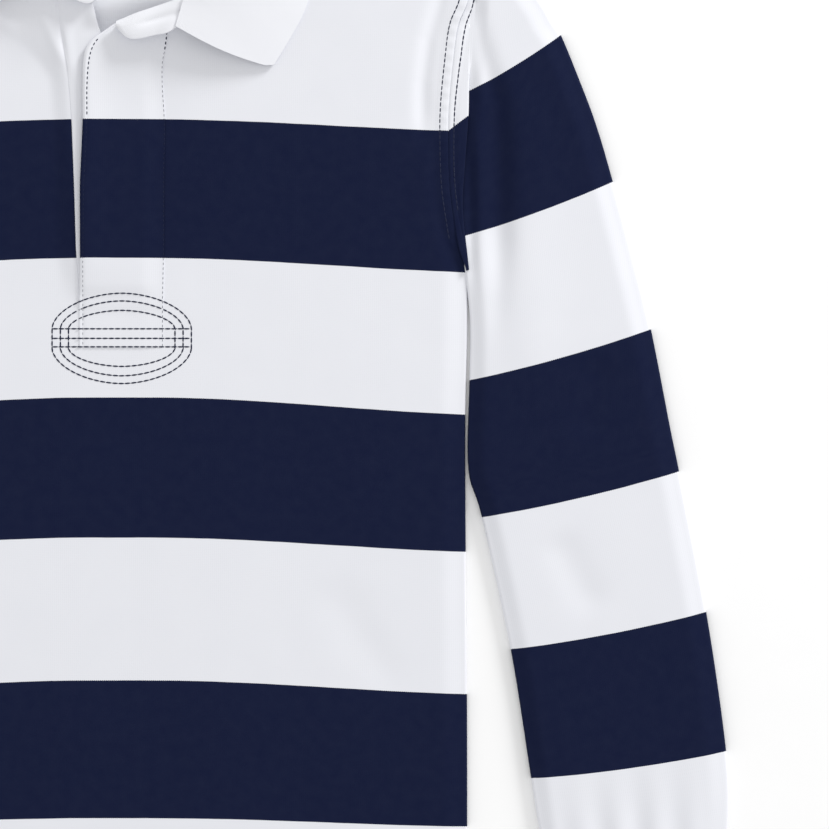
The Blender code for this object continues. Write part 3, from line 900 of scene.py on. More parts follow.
UNDER = (
    Facing(0.0460, -0.0262),
    Facing(0.0530, -0.0225),
    Facing(0.0590, -0.0165),
    Facing(0.0655, -0.0142),
    Facing(0.0750, -0.0118),
    Facing(0.0850, -0.0080),
    Facing(0.1000, -0.0020),
    Facing(0.1250, 0.0120),
    Facing(0.1600, 0.0150),
    Facing(PLACKET_BOTTOM - 0.0004, 0.0150),
)
print(f"the placket is {(OVER[-1].high_x - OVER[-1].low_x) * 1000:.0f} mm wide at its end")

# %% Placket strips
PLACKET_COLUMNS = 44
PLACKET_ROWS = 140
UNDER_TUCK = 0.0024
UNDER_SLIP = 0.0011
SEWN_FROM = 0.214
EDGE_SINK = 0.0010
EDGE_REACH = 0.013
NEEDLE_DIP = 0.0002
FOLDED_EDGE = 0.0007


def over_at(name, down):
    return curve(OVER, "down", name, down)


def over_top(across, down):
    """The free edge stands up, and the other edge and the lower end are sewn down flat."""
    sewn_end = smooth((down - SEWN_FROM) / 0.010)
    top = front_height(across, down) + unevenness(across, down) + SEAM_GAP + LAYER
    top += fold_height("over", across, down)
    top -= 0.0007 * sewn_end + 0.0004 * smooth((down - SEWN_FROM - 0.010) / 0.008)
    inside_edge = (across - over_at("high_x", down) + EDGE_REACH) / EDGE_REACH
    top -= EDGE_SINK * smooth(inside_edge) * (1.0 - 0.7 * sewn_end)
    top -= NEEDLE_DIP * hump(across - over_at("stitch_x", down), 0.0007)
    return top - FOLDED_EDGE * hump(across - over_at("low_x", down), 0.0008) * (1.0 - sewn_end)


def under_top(across, down):
    """Level with the front in the gap, and a layer lower where it slips under the front."""
    lowest = back_lift(across, down) + 2 * LAYER + SEAM_GAP
    level = front_height(across, down) + fold_height("under", across, down)
    level -= placket_seam_dip(across, down)
    past = -neck_at("right", level_of(across, down)) + 0.0001 - across
    return max(level, lowest) - UNDER_SLIP * smooth(past / 0.0009)


def over_place(column, row):
    down = blend(OVER[0].down, OVER[-1].down, row / PLACKET_ROWS)
    share = column / PLACKET_COLUMNS
    share = 0.45 * share + 0.55 * smooth(share)
    across = blend(over_at("low_x", down), over_at("high_x", down), share)
    return place(across, down, over_top(across, down)), on_body(across, down)


def under_place(column, row):
    down = blend(UNDER[0].down, UNDER[-1].down, row / PLACKET_ROWS)
    low = -UNDER_TUCK - neck_at("right", down)
    high = curve(UNDER, "down", "high_x", down)
    share = column / PLACKET_COLUMNS
    across = blend(low, high, share ** 1.5)
    return place(across, down, under_top(across, down)), (across, down)


placket_over = cloth("placket_over_jersey", PLACKET_COLUMNS, PLACKET_ROWS, over_place)
thicken(placket_over, JERSEY)
dress(placket_over, ["placket_over"], STRIPED)
placket_under = cloth("placket_under_jersey", PLACKET_COLUMNS, PLACKET_ROWS, under_place)
thicken(placket_under, JERSEY)
dress(placket_under, ["placket_under"], PLAIN)

# %% [markdown]
# ## Sleeves
#
# A sleeve is cut in one and sewn to a tube. On a shirt that lies with its arms down, the tube
# turns over itself beside the armhole: a narrow strip stays with the seam, and the rest comes
# out from under it. So the stripes step where they cross that fold. Each row of the table is one
# line across the sleeve, and gives the seam, the strip's end, where the rest comes out, and the
# far edge. A row is walked all round: strip, fold, top, outer edge, underside.

# %% Sleeve rows
Row = namedtuple(
    "Row",
    "at seam_x seam_down strip_x strip_down main_x main_down outer_x outer_down height lap",
)


def tube_row(at, inner_x, inner_down, outer_x, outer_down, height):
    """Below the armpit the seam, the strip's end and the inner edge are one place."""
    return Row(at, *(inner_x, inner_down) * 3, outer_x, outer_down, height, 0.0)


SLEEVE_ROWS = (
    Row(0, 0.1909, 0.0305, 0.1911, 0.0304, 0.1914, 0.0302, 0.1925, 0.0294, 0.0046, 0.0),
    Row(1, 0.1896, 0.0446, 0.1916, 0.0440, 0.1919, 0.0440, 0.2048, 0.0345, 0.0050, 0.0),
    Row(2, 0.1880, 0.0615, 0.1912, 0.0603, 0.1916, 0.0597, 0.2179, 0.0475, 0.0052, 0.0),
    Row(3, 0.1826, 0.0805, 0.1898, 0.0805, 0.1904, 0.0775, 0.2293, 0.0631, 0.0054, 0.0),
    Row(4, 0.1787, 0.1077, 0.1890, 0.1035, 0.1896, 0.0940, 0.2342, 0.0718, 0.0056, 0.3),
    Row(5, 0.1777, 0.1322, 0.1880, 0.1240, 0.1890, 0.1099, 0.2391, 0.0794, 0.0058, 1.0),
    Row(6, 0.1786, 0.1578, 0.1862, 0.1490, 0.1871, 0.1340, 0.2483, 0.1017, 0.0060, 1.0),
    Row(7, 0.1812, 0.1800, 0.1849, 0.1740, 0.1853, 0.1610, 0.2581, 0.1278, 0.0060, 1.0),
    Row(8, 0.1880, 0.2089, 0.1884, 0.2089, 0.1848, 0.1893, 0.2674, 0.1594, 0.0060, 1.0),
    Row(9, 0.1888, 0.2320, 0.1894, 0.2320, 0.1894, 0.2320, 0.2782, 0.1994, 0.0060, 0.0),
    tube_row(10, 0.1892, 0.2671, 0.2880, 0.2394, 0.0060),
    tube_row(11, 0.1886, 0.3144, 0.2984, 0.2927, 0.0058),
    tube_row(12, 0.1961, 0.3416, 0.3033, 0.3166, 0.0056),
    tube_row(13, 0.2117, 0.4131, 0.3180, 0.3928, 0.0056),
    tube_row(14, 0.2228, 0.4831, 0.3288, 0.4684, 0.0056),
    tube_row(15, 0.2274, 0.5108, 0.3299, 0.5070, 0.0054),
    tube_row(16, 0.2325, 0.5270, 0.3262, 0.5230, 0.0052),
    tube_row(17, 0.2418, 0.5407, 0.3158, 0.5364, 0.0046),
)
ARMPIT_ROW = 8

# %% Sleeve stripes and mesh rows
SLEEVE_STEP = 0.0021
SleeveStripe = namedtuple("SleeveStripe", "at number")
SLEEVE_STRIPES = (
    SleeveStripe(0, 0.05),
    SleeveStripe(5, 1.0),
    SleeveStripe(8, 2.0),
    SleeveStripe(10, 3.0),
    SleeveStripe(12, 4.0),
    SleeveStripe(13, 5.0),
    SleeveStripe(14, 6.0),
    SleeveStripe(17, 6.8),
)


def sleeve_stations():
    """Where the mesh has its rows: evenly, about two millimetres apart."""
    stations = [0.0]
    for a, b in zip(SLEEVE_ROWS, SLEEVE_ROWS[1:]):
        outer = hypot(b.outer_x - a.outer_x, b.outer_down - a.outer_down)
        inner = hypot(b.main_x - a.main_x, b.main_down - a.main_down)
        steps = max(3, round(max(outer, inner) / SLEEVE_STEP))
        stations += spread(a.at, b.at, steps)[1:]
    return stations


STATIONS = sleeve_stations()
print("rows of a sleeve's mesh:", len(STATIONS))

# %% Columns of a sleeve's mesh
STRIP_COLUMNS, LAP_COLUMNS, MAIN_COLUMNS, OUTER_COLUMNS, UNDER_COLUMNS = 12, 14, 56, 8, 24
SLEEVE_COLUMNS = STRIP_COLUMNS + LAP_COLUMNS + MAIN_COLUMNS + OUTER_COLUMNS + UNDER_COLUMNS
print("columns of a sleeve's mesh:", SLEEVE_COLUMNS)

# %% Strip and lap
ROLL_RADIUS = 0.00085
ROLL_STEPS = LAP_COLUMNS // 2
STRIP_RISE = 0.0006
LAP_DEPTH = 0.0030
FLAT_REACH = 0.0014
SEAM_TUCK = 0.0004


def strip_top(seam_up, off, along, lap):
    return seam_up + seam_relief(off, along) + STRIP_RISE * smooth((off - 0.004) / 0.004) * lap


def lap_points(top, width, lap):
    """The fold between strip and sleeve, as (run, up, share of the way to the main part)."""
    depth = min(LAP_DEPTH, 0.6 * width) * lap
    low = top - 2 * ROLL_RADIUS
    points = []
    for k in range(LAP_COLUMNS + 1):
        share = k / LAP_COLUMNS
        if k <= ROLL_STEPS:
            turn = pi * k / ROLL_STEPS
            folded = (ROLL_RADIUS * sin(turn), low + ROLL_RADIUS * (1 + cos(turn)), 0.0)
        else:
            back = (k - ROLL_STEPS) / ROLL_STEPS
            folded = (-depth * smooth(back * 1.4), low - 0.0001 * smooth(back), smooth(back))
        flat = (blend(-FLAT_REACH, FLAT_REACH, share), top, share)
        points.append([blend(a, b, lap) for a, b in zip(flat, folded)])
    return points


def armhole_side(row, start, strip, main, along):
    """From the armhole seam over the strip and round the fold, as (place, up, run)."""
    lap = min(max(row.lap, 0.0), 1.0)
    seam_up = front_height(ARMPIT.across - 0.016, row.seam_down)
    width = (strip - start).length
    points = []
    for c in range(STRIP_COLUMNS):
        off = width * c / STRIP_COLUMNS
        up = strip_top(seam_up, off, row.seam_down, lap) - (SEAM_TUCK if c == 0 else 0.0)
        points.append((start.lerp(strip, c / STRIP_COLUMNS), up, off - width))
    end_up = strip_top(seam_up, width, row.seam_down, lap)
    for run, up, share in lap_points(end_up, width, lap):
        points.append((strip.lerp(main, share) + along * run, up, run))
    return points


# %% The tube's inner edge, top, outer edge and underside
INNER_TURN = 0.0014
UNDER_END = 0.0055
UNDER_TURN = 0.0008
OUTER_TIP = 0.0016
CROWN_REACH = 0.012
INNER_REACH = 0.010
GATHERS = 5
GATHER_HEIGHT = 0.0009


def tube_side(main, along):
    """Below the armpit the cloth just turns over at the inner edge."""
    points = []
    for run in spread(UNDER_END, INNER_TURN, STRIP_COLUMNS)[:-1]:
        points.append((main + along * run, 0.0, -run))
    for turn in spread(0.0, pi, LAP_COLUMNS):
        run = INNER_TURN * (1 - sin(turn))
        points.append((main + along * run, SLEEVE_EDGE / 2 * (1 - cos(turn)), run))
    return points


def gather(share, at):
    """The cuff draws the sleeve's end together into soft gathers."""
    fade = smooth((at - 13.6) / 1.8) * smooth((17.6 - at) / 1.2)
    return GATHER_HEIGHT * fade * sin(2 * pi * GATHERS * share + 0.8) * sin(pi * share)


def sleeve_top(row, start_up, spot, run, width):
    """The top's height: it swells from both edges, and carries folds and gathers."""
    wide = width > 0.03
    crown = smooth((width - run) / CROWN_REACH) if wide else 0.6
    inner = smooth(run / INNER_REACH) if wide else 0.6
    up = blend(SLEEVE_EDGE, blend(start_up, row.height, inner), crown)
    relief = fold_height("sleeve", spot.x, spot.y) + unevenness(spot.x, spot.y, 3.0)
    relief += gather(max(run, 0.0) / width, row.at)
    return up + relief * crown * inner


# %% One section of a sleeve
SLEEVE_SAG = 0.0018


@lru_cache(maxsize=None)
def sleeve_section(at):
    """One row of the sleeve's outer face as (across, down, up, run)."""
    row = row_at(SLEEVE_ROWS, at)
    main = Vector((row.main_x, row.main_down))
    outer = Vector((row.outer_x, row.outer_down))
    width = (outer - main).length
    along = (outer - main) / width
    is_open = at < ARMPIT_ROW
    sag = SLEEVE_SAG * smooth(width / 0.06) * smooth((SLEEVE_ROWS[-1].at - at) / 1.5)
    if is_open:
        level = level_of(row.seam_x, row.seam_down)
        start = Vector((edge_at(level) - SEAM_TUCK, row.seam_down))
        side = armhole_side(row, start, Vector((row.strip_x, row.strip_down)), main, along)
        start_up, start_run = side[-1][1:]
        under_end = (start - main).dot(along) + UNDER_TURN
    else:
        side = tube_side(main, along)
        start_up, start_run, under_end = SLEEVE_EDGE, INNER_TURN, UNDER_END
    points = [(spot.x, spot.y, up, run) for spot, up, run in side]

    def add(run, up, length, sagging=0.0):
        spot = main + along * run
        share = max(run, 0.0) / width
        low = sagging * 4 * share * (1 - share)
        points.append((spot.x, spot.y + low, up, length))

    tip = min(OUTER_TIP, width * 0.1)
    middle = SLEEVE_EDGE / 2
    for run in spread(start_run, width - tip, MAIN_COLUMNS)[1:]:
        add(run, sleeve_top(row, start_up, main + along * run, run, width), run, sag)
    for turn in spread(0.0, pi, OUTER_COLUMNS)[1:]:
        add(width - tip + tip * sin(turn), middle * (1 + cos(turn)), width + middle * turn)
    for run in spread(width - tip, under_end, UNDER_COLUMNS)[1:]:
        add(run, 0.0, 2 * width - run, sag)
    last = (start.x, start.y, 0.0) if is_open else points[0][:3]
    points[-1] = (*last, points[-1][3])
    return points


print("points around one row of a sleeve:", len(sleeve_section(STATIONS[-1])))

# %% [markdown]
# ## Both sleeves from one section
#
# The shirt is laid out evenly, so the wearer's right sleeve is the left one mirrored. The mirror
# is in the formula and not a negative scale, which would turn the shell inside out.

# %% Sleeve sheets
def make_sleeve(side):
    mirror = 1.0 if side == "left" else -1.0

    def sleeve_place(column, row):
        at = STATIONS[row]
        across, down, up, run = sleeve_section(at)[column]
        number = straight(SLEEVE_STRIPES, "at", "number", at)
        return place(mirror * across, down, up), (run, number * STRIPE)

    piece = cloth(f"sleeve_{side}_jersey", SLEEVE_COLUMNS, len(STATIONS) - 1, sleeve_place)
    close_up()
    thicken(piece, JERSEY)
    for vert in piece.data.vertices:
        vert.co.z = max(vert.co.z, 0.0)
    return dress(piece, [f"sleeve_{side}"], STRIPED)


sleeves = {side: make_sleeve(side) for side in ("left", "right")}

# %% [markdown]
# ## Cuffs
#
# The cuffs lie past the photograph's edge, so they are plain ribbed knit, as such shirts have.
# A cuff is a flattened tube like the sleeve that it holds together. Its ribs are geometry, and
# the knit on them is in the material.

# %% Cuffs
RIBS = 22
RIB_HEIGHT = 0.0006
RIB_STEPS = 8
CUFF_ROWS = 24
CUFF_HEIGHT = 0.0046
CUFF_PINCH = 0.0015
CUFF_FLATNESS = 3.5
CUFF_START = SLEEVE_ROWS[-1]
CUFF_END = tube_row(18, 0.2470, 0.5925, 0.3165, 0.5885, CUFF_HEIGHT)


def make_cuff(side):
    mirror = 1.0 if side == "left" else -1.0
    steps = RIBS * RIB_STEPS

    def cuff_place(column, row):
        share = row / CUFF_ROWS
        line = Row(*[blend(a, b, share) for a, b in zip(CUFF_START, CUFF_END)])
        low = Vector((line.seam_x, line.seam_down))
        high = Vector((line.outer_x, line.outer_down))
        along = (high - low).normalized()
        half = (high - low).length / 2 - CUFF_PINCH * sin(pi * share)
        turn = pi * (column % (2 * steps)) / steps
        reach = cos(turn)
        run = -half * (abs(reach) ** 0.75) * (1 if reach > 0 else -1)
        up = CUFF_HEIGHT / 2 * min(1.0, max(-1.0, sin(turn) * CUFF_FLATNESS))
        rib = RIB_HEIGHT * (abs(sin(pi * column / RIB_STEPS)) ** 0.7 - 1.0)
        rib *= smooth(share / 0.03)
        spot = (low + high) / 2 + along * (run * (1 + rib / half))
        up = CUFF_HEIGHT / 2 + up * (1 + rib / (CUFF_HEIGHT / 2))
        on_map = (column * half / steps * 2, line.seam_down - CUFF_START.seam_down)
        return place(mirror * spot.x, spot.y, up), on_map

    piece = cloth(f"cuff_{side}_rib", 2 * steps, CUFF_ROWS, cuff_place)
    close_up()
    thicken(piece, JERSEY)
    return dress(piece, [f"cuff_{side}"], RIB)


cuffs = {side: make_cuff(side) for side in ("left", "right")}

# %% [markdown]
# ## Collar
#
# The collar has two parts. The band stands round the neck from its seam up to the roll, and the
# fall turns down over it. Both tables start at the wearer's left front, go behind the neck, and
# come back mirrored on the right, where the open neck pulls the front end up and out. At the
# back the fall is turned under the shirt.

# %% Collar tables
Band = namedtuple("Band", "at seam_x seam_down seam_z lip_z roll_x roll_down roll_z")
BAND = (
    Band(0.0, -0.0020, 0.0750, 0.0084, 0.0126, -0.0016, 0.0731, 0.0118),
    Band(1.0, 0.0060, 0.0818, 0.0078, 0.0138, 0.0090, 0.0685, 0.0124),
    Band(2.0, 0.0193, 0.0799, 0.0076, 0.0148, 0.0215, 0.0643, 0.0124),
    Band(3.0, 0.0285, 0.0772, 0.0072, 0.0152, 0.0340, 0.0600, 0.0138),
    Band(4.0, 0.0430, 0.0640, 0.0062, 0.0110, 0.0400, 0.0560, 0.0138),
    Band(5.0, 0.0590, 0.0440, 0.0060, 0.0090, 0.0540, 0.0400, 0.0135),
    Band(6.0, 0.0680, 0.0210, 0.0060, 0.0085, 0.0640, 0.0180, 0.0135),
    Band(7.0, 0.0700, -0.0020, 0.0056, 0.0075, 0.0630, -0.0050, 0.0126),
    Band(8.0, 0.0480, 0.0070, 0.0030, 0.0054, 0.0480, -0.0175, 0.0110),
    Band(9.0, 0.0240, 0.0125, 0.0025, 0.0050, 0.0250, -0.0220, 0.0105),
    Band(10.0, 0.0000, 0.0143, 0.0025, 0.0049, 0.0000, -0.0235, 0.0102),
)
Fall = namedtuple("Fall", "at roll_x roll_down roll_z edge_x edge_down edge_z turn")
FALL = (
    Fall(0.0, 0.0350, 0.0600, 0.0158, 0.0304, 0.0757, 0.0054, 0.0),
    Fall(1.0, 0.0400, 0.0560, 0.0162, 0.0822, 0.0970, 0.0054, 0.0),
    Fall(2.0, 0.0480, 0.0490, 0.0163, 0.0925, 0.0800, 0.0052, 0.0),
    Fall(3.0, 0.0555, 0.0395, 0.0161, 0.1005, 0.0640, 0.0052, 0.0),
    Fall(4.0, 0.0620, 0.0270, 0.0157, 0.1070, 0.0400, 0.0052, 0.0),
    Fall(5.0, 0.0655, 0.0120, 0.0152, 0.1095, 0.0185, 0.0052, 0.0),
    Fall(6.0, 0.0645, -0.0010, 0.0146, 0.1070, 0.0035, 0.0040, 0.2),
    Fall(7.0, 0.0600, -0.0090, 0.0138, 0.1010, 0.0000, 0.0012, 0.7),
    Fall(8.0, 0.0540, -0.0145, 0.0130, 0.0880, 0.0080, 0.0010, 1.0),
    Fall(9.0, 0.0420, -0.0195, 0.0122, 0.0700, 0.0270, 0.0010, 1.0),
    Fall(10.0, 0.0250, -0.0228, 0.0118, 0.0450, 0.0400, 0.0010, 1.0),
    Fall(11.0, 0.0000, -0.0240, 0.0116, 0.0000, 0.0430, 0.0010, 1.0),
)
# %% Round the neck and back, and the open right end
RIGHT_END_SHIFT_DOWN = -0.0265
RIGHT_END_SHIFT_ACROSS = 0.0200
RIGHT_TIP_SAG = 0.0110


def both_ways(table, steps):
    """Rows from the left front to behind the neck, and back on the right, as (at, mirror)."""
    last = table[-1].at
    ways = [(at, 1.0) for at in spread(0.0, last, int(last) * steps)]
    return ways + [(at, -1.0) for at, _ in reversed(ways[:-1])]


def right_shift(roll_down, mirror):
    if mirror > 0:
        return 0.0, 0.0
    share = smooth((roll_down + 0.010) / 0.070)
    sag = RIGHT_TIP_SAG * smooth((roll_down - 0.065) / 0.007)
    return RIGHT_END_SHIFT_ACROSS * share - sag * 0.5, RIGHT_END_SHIFT_DOWN * share + sag


print("rows of the band's mesh:", len(both_ways(BAND, 8)))


# %% Collar band
BAND_COLUMNS = 18
LIP_COLUMNS = 6
LIP_TUCK = 0.16
BAND_BULGE = 0.0006
BAND_CREASE = 0.0010
MAP_STEP = 0.02
BAND_WAYS = both_ways(BAND, 8)


def band_place(column, row):
    at, mirror = BAND_WAYS[row]
    line = row_at(BAND, at)
    across, down = right_shift(line.roll_down, mirror)
    if column < LIP_COLUMNS:
        turn = column / LIP_COLUMNS
        share = LIP_TUCK * (1.0 - sin(turn * pi / 2))
        up = blend(line.lip_z, line.seam_z, cos(turn * pi / 2))
    else:
        turn = (column - LIP_COLUMNS) / (BAND_COLUMNS - LIP_COLUMNS)
        share = turn
        up = blend(line.lip_z, line.roll_z, turn) + BAND_BULGE * sin(pi * turn)
        up -= BAND_CREASE * hump(turn - 0.52, 0.12) * smooth(at - 0.9)
    spot = place(
        mirror * (blend(line.seam_x, line.roll_x, share) + across),
        blend(line.seam_down, line.roll_down, share) + down,
        up,
    )
    return spot, (at * mirror * MAP_STEP, column * 0.002)


band = cloth("collar_band_twill", BAND_COLUMNS, len(BAND_WAYS) - 1, band_place)
thicken(band, TWILL_CLOTH, offset=0.0)
dress(band, ["collar_stand"], TWILL)

# %% Collar fall
LEAF_CROWN = 0.06
LEAF_BOW = 0.0024
LEAF_LENGTH = 0.06
TIP_ROUNDING = 0.0018
TURN_REACH = 0.0075
TURN_SWELL = 0.10
FALL_COLUMNS = 30
FALL_WAYS = both_ways(FALL, 24)


def fall_spot(row, share):
    """A point of the fall, from the roll at 0 to its edge at 1, as (across, down, up)."""
    roll = Vector((row.roll_x, row.roll_down))
    edge = Vector((row.edge_x, row.edge_down))
    away = (roll - Vector((0.0, 0.030))).normalized()
    share -= TIP_ROUNDING * hump(row.at - 1.0, 0.045) * share**8 / (roll - edge).length
    left_of_tip = max(1.0 - row.at, 0.0)
    lift = 1.0 - share * (1.0 - left_of_tip * (0.88 + 0.12 * left_of_tip))
    on_front = blend(row.edge_z, row.roll_z, lift + LEAF_CROWN * sin(pi * lift))
    under = blend(row.edge_z, row.roll_z, (1.0 - smooth(share / 0.25)) ** 1.3)
    out = TURN_REACH * smooth(share / 0.12) * (1.0 - share) ** 1.5
    out += TURN_SWELL * (roll - edge).length * sin(pi * min(share / 0.36, 1.0))
    spot = roll.lerp(edge, share) + away * out * row.turn
    return spot.x, spot.y, blend(on_front, under, row.turn)


def fall_place(column, row):
    at, mirror = FALL_WAYS[row]
    line = row_at(FALL, at, straight) if at < 1.0 else row_at(FALL[1:], at)
    shift_across, shift_down = right_shift(line.roll_down, mirror)
    share = (column / FALL_COLUMNS) ** 1.3
    across, down, up = fall_spot(line, share)
    down += shift_down + LEAF_BOW * share * sin(pi * min(at, 1.0))
    on_map = (at * mirror * MAP_STEP, share * LEAF_LENGTH)
    return place(mirror * (across + shift_across), down, up), on_map


fall = cloth("collar_fall_twill", FALL_COLUMNS, len(FALL_WAYS) - 1, fall_place)
thicken(fall, TWILL_CLOTH, offset=0.0)
dress(fall, ["collar"], TWILL)

# %% [markdown]
# ## Stitches
#
# Every seam that shows is sewn with navy thread. One stitch is a small bead of thread, rounded at
# both ends and half sunk into the cloth. It is modelled once, from a sphere, and copied along
# each needle row. A row is a list of places on the shirt, walked at an even pitch.

# %% One stitch
StitchSize = namedtuple("StitchSize", "pitch length width height")
BOLD = StitchSize(0.0030, 0.0030, 0.00078, 0.00045)
FINE = StitchSize(0.0027, 0.0018, 0.00070, 0.00045)
SUNK = StitchSize(0.0026, 0.0016, 0.00026, 0.00028)

bpy.ops.object.select_all(action="DESELECT")
bpy.ops.mesh.primitive_uv_sphere_add(segments=8, ring_count=6, radius=0.5, rotation=(0, pi / 2, 0))
stitch = bpy.context.object
bpy.ops.object.transform_apply(location=False, rotation=True, scale=False)
STITCH_POINTS = [vert.co.copy() for vert in stitch.data.vertices]
STITCH_FACES = [tuple(face.vertices) for face in stitch.data.polygons]
bpy.data.objects.remove(stitch, do_unlink=True)
print("faces of one stitch:", len(STITCH_FACES))


# %% Sewing
def walk(path, pitch):
    """Even steps along a path, as (middle, direction)."""
    steps, left = [], pitch / 2
    for a, b in zip(path, path[1:]):
        run = b - a
        length = run.length
        while left <= length:
            steps.append((a + run * (left / length), run.normalized()))
            left += pitch
        left -= length
    return steps


def sew(name, rows, size):
    """Joins all the stitches of some rows of places into one piece."""
    points, faces = [], []
    for path in rows:
        for middle, ahead in walk(path, size.pitch):
            side = Vector((0, 0, 1)).cross(ahead).normalized()
            up = ahead.cross(side)
            start = len(points)
            for p in STITCH_POINTS:
                offset = ahead * p.x * size.length + side * p.y * size.width
                points.append(middle + offset + up * p.z * size.height)
            faces += [tuple(start + i for i in face) for face in STITCH_FACES]
    mesh = bpy.data.meshes.new(name)
    mesh.from_pydata(points, [], faces)
    mesh.update()
    piece = bpy.data.objects.new(name, mesh)
    bpy.context.collection.objects.link(piece)
    bpy.context.view_layer.objects.active = piece
    piece.select_set(True)
    bpy.ops.object.shade_smooth()
    piece.select_set(False)
    return dress(piece, [], NAVY_THREAD)


def on_surface(places, top_at):
    return [place(across, down, top_at(across, down)) for across, down in places]


# %% [markdown]
# ## Needle rows of the body
#
# The armhole has one row on the body and one on the sleeve. The body's row keeps its distance
# from the seam, and the sleeve's row is read from the same section as the cloth, so that it lies
# on the strip.

# %% Armhole stitches
def armhole_rows(mirror):
    """One needle row on the body and one on the sleeve's strip."""
    body = []
    for down in spread(0.036, 0.190, 90):
        level = down
        for _ in range(12):
            across = edge_at(level) - NEEDLE_OFF
            level = level_of(across, down)
        body.append((mirror * across, down))
    strip = []
    for at in spread(0.5, 6.9, 128):
        section = sleeve_section(at)
        start = Vector(section[0][:2])
        for a, b in zip(section, section[1:]):
            before, after = (Vector(a[:2]) - start).length, (Vector(b[:2]) - start).length
            if before < NEEDLE_OFF <= after:
                share = (NEEDLE_OFF - before) / (after - before)
                x, down, up = [blend(p, q, share) for p, q in zip(a[:3], b[:3])]
                strip.append(place(mirror * x, down, up))
                break
    return [on_surface(body, front_top), strip]


armhole_stitches = sew("armhole_stitches", armhole_rows(1.0) + armhole_rows(-1.0), BOLD)

# %% [markdown]
# ## Needle rows of the placket
#
# The strip on top has one needle row along its free edge and one along its sewn edge. Near the
# neck the thread stands proud and shows dark. Lower down it has sunk into the cloth, so those
# stitches are thinner.

# %% Placket stitches
PLACKET_STEP = 0.0015
SEWN_ROW_OFF = -0.0004
LAST_STITCH = PLACKET_BOTTOM - 0.001


def placket_row(column, off, start, end):
    places = []
    for down in spread(start, end, round((end - start) / PLACKET_STEP)):
        places.append((over_at(column, down) + off, down))
    return on_surface(places, over_top)


placket_stitches = sew(
    "placket_stitches",
    [
        placket_row("stitch_x", 0.0, 0.0815, 0.1245),
        placket_row("high_x", SEWN_ROW_OFF, 0.0745, 0.087),
    ],
    FINE,
)
placket_sunk_stitches = sew(
    "placket_sunk_stitches",
    [
        placket_row("stitch_x", 0.0, 0.126, LAST_STITCH),
        placket_row("high_x", SEWN_ROW_OFF, 0.088, LAST_STITCH),
    ],
    SUNK,
)

# %% [markdown]
# ## The oval at the placket's end
#
# The placket's lower end takes the strain of every pull over the head, so it is sewn through
# with an oval of three rows and three straight rows across. Each oval is two bows joined by
# short straight sides, and a bow is an ellipse that is a little more pointed at its ends. The
# rows pass over the strip and over the front beside it, so each point takes the height of
# whatever lies on top there.

# %% Oval stitches
OVAL = StitchSize(0.0034, 0.0034, 0.00085, 0.00050)
OVAL_CENTRE = Edge(0.0005, 0.2440)
OVALS = ((0.0378, 0.0196), (0.0333, 0.0154), (0.0289, 0.0103))
OVAL_SIDE = 0.0049
BOW = 1.86
ROWS_ACROSS = (0.2388, 0.2440, 0.2486)


def bow(reach):
    return abs(reach) ** (2.0 / BOW) * (1.0 if reach > 0.0 else -1.0)


def top_layer(across, down):
    inside = OVER[-1].low_x <= across <= OVER[-1].high_x and down <= PLACKET_BOTTOM
    top = front_top(across, down)
    return max(over_top(across, down), top) if inside else top


def oval_rows():
    rows = []
    for half_width, half_height in OVALS:
        around = []
        for turn in spread(0.0, 2 * pi, 160):
            side = OVAL_SIDE if turn <= pi else -OVAL_SIDE
            across = OVAL_CENTRE.across + half_width * bow(cos(turn))
            around.append((across, OVAL_CENTRE.down + side + half_height * bow(sin(turn))))
        rows.append(around + around[:1])
    reach = OVALS[0][0]
    for down in ROWS_ACROSS:
        rows.append([(OVAL_CENTRE.across + x, down) for x in spread(-reach, reach, 60)])
    return [on_surface(row, top_layer) for row in rows]


oval_stitches = sew("oval_stitches", oval_rows(), OVAL)

# %% [markdown]
# ## Hem and shoulders
#
# The hem is turned up once and sewn with a twin needle, and so are the shoulder seams. Both lie
# past the photograph's edges, so they are the usual ones of such a shirt.

# %% Hem and shoulder stitches
HEM_ROWS = (HEM, HEM - 0.005)
SHOULDER_ROWS = (0.002, 0.0065)


def hem_rows():
    rows = []
    for up in HEM_ROWS:
        down = BODY_LENGTH - up
        half = edge_at(down) - 0.003
        rows.append(on_surface([(x, down) for x in spread(-half, half, 200)], front_top))
    return rows


def shoulder_rows():
    rows = []
    for mirror in (1.0, -1.0):
        for off in SHOULDER_ROWS:
            places = []
            for across in spread(0.078, 0.183, 60):
                places.append((mirror * across, shoulder_down(across) + off))
            rows.append(on_surface(places, front_top))
    return rows


hem_stitches = sew("hem_stitches", hem_rows(), FINE)
shoulder_stitches = sew("shoulder_stitches", shoulder_rows(), FINE)
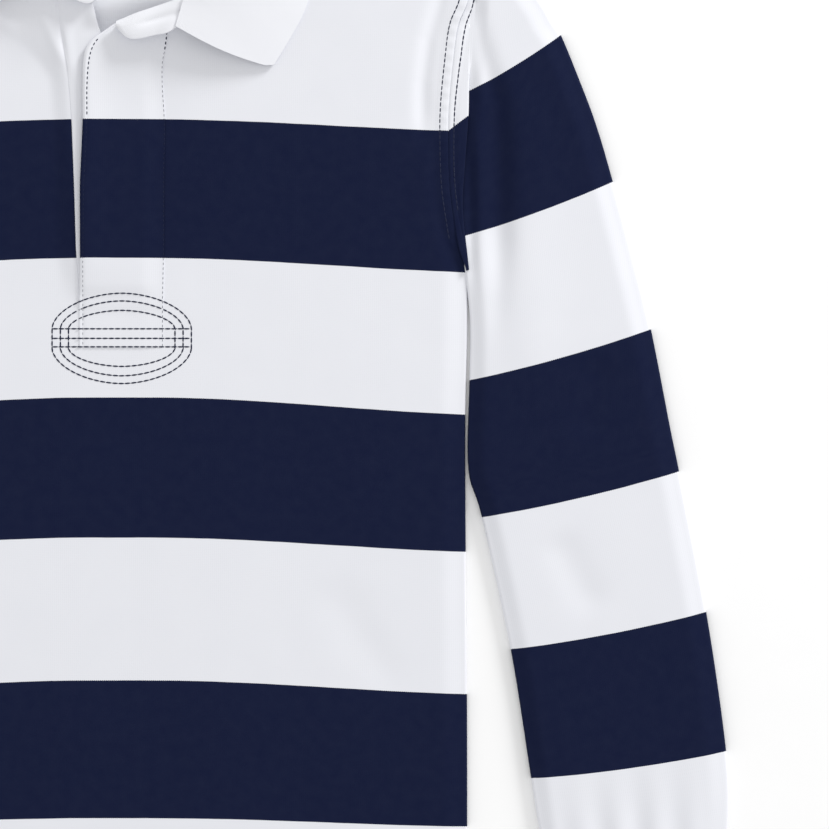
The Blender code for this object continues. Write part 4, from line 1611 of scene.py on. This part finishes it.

# %% [markdown]

# %% [markdown]
# ## Studio
#
# The photograph is a cut-out on white, taken straight from above in soft light. A plain floor
# stands in for the white. One large lamp stands low beyond the collar, to the top right. It gives
# the shadow under the collar's leaf and shades the creases, and an even white sky fills the rest.
# The long lens keeps the garment flat, as in the photograph.

# %% Floor
PAPER = (0.96, 0.96, 0.96, 1.0)
PAPER_LIGHT = (0.98, 0.98, 0.98, 1.0)
bpy.ops.object.select_all(action="DESELECT")
bpy.ops.mesh.primitive_plane_add(size=6.0, location=(0.0, 0.0, -0.0004))
floor = bpy.context.object
floor.name = "floor"
paper = Finish("pale_floor")
grain = paper.noise(paper.node("ShaderNodeTexCoord", output=3), 40.0, 2.0)
floor.data.materials.append(
    paper.finish(
        Base_Color=paper.mix(grain, PAPER, PAPER_LIGHT),
        Roughness=0.7 + grain * 0.2,
        Specular_IOR_Level=0.1,
    )
)

# %% Light
world = bpy.data.worlds.new("sky")
world.use_nodes = True
sky = world.node_tree.nodes["Background"]
sky.inputs["Color"].default_value = (1.0, 1.0, 1.0, 1.0)
sky.inputs["Strength"].default_value = 0.81
bpy.context.scene.world = world

LAMP_FROM = Vector((0.70, 0.80, 0.305))
LAMP_DISTANCE = 3.6
bpy.ops.object.light_add(type="AREA", location=LAMP_FROM.normalized() * LAMP_DISTANCE)
lamp = bpy.context.object
lamp.name = "key_lamp"
lamp.data.shape = "DISK"
lamp.data.size = 1.0
lamp.data.energy = 94.0
lamp.rotation_euler = LAMP_FROM.to_track_quat("Z", "Y").to_euler()
print(f"lamp {lamp.location.z:.2f} m above the floor")

# %% Camera
FRAME_CENTRE = Vector((0.1594, -0.0035))
FRAME_WIDTH = 0.451
LENS = 150.0
SENSOR = 36.0

distance = FRAME_WIDTH * LENS / SENSOR
bpy.ops.object.camera_add(location=(*FRAME_CENTRE, distance), rotation=(0.0, 0.0, 0.0))
camera = bpy.context.object
camera.data.lens = LENS
camera.data.sensor_width = SENSOR
bpy.context.scene.camera = camera
bpy.context.scene.view_settings.view_transform = "Standard"
print(f"camera {distance:.2f} m above the floor")
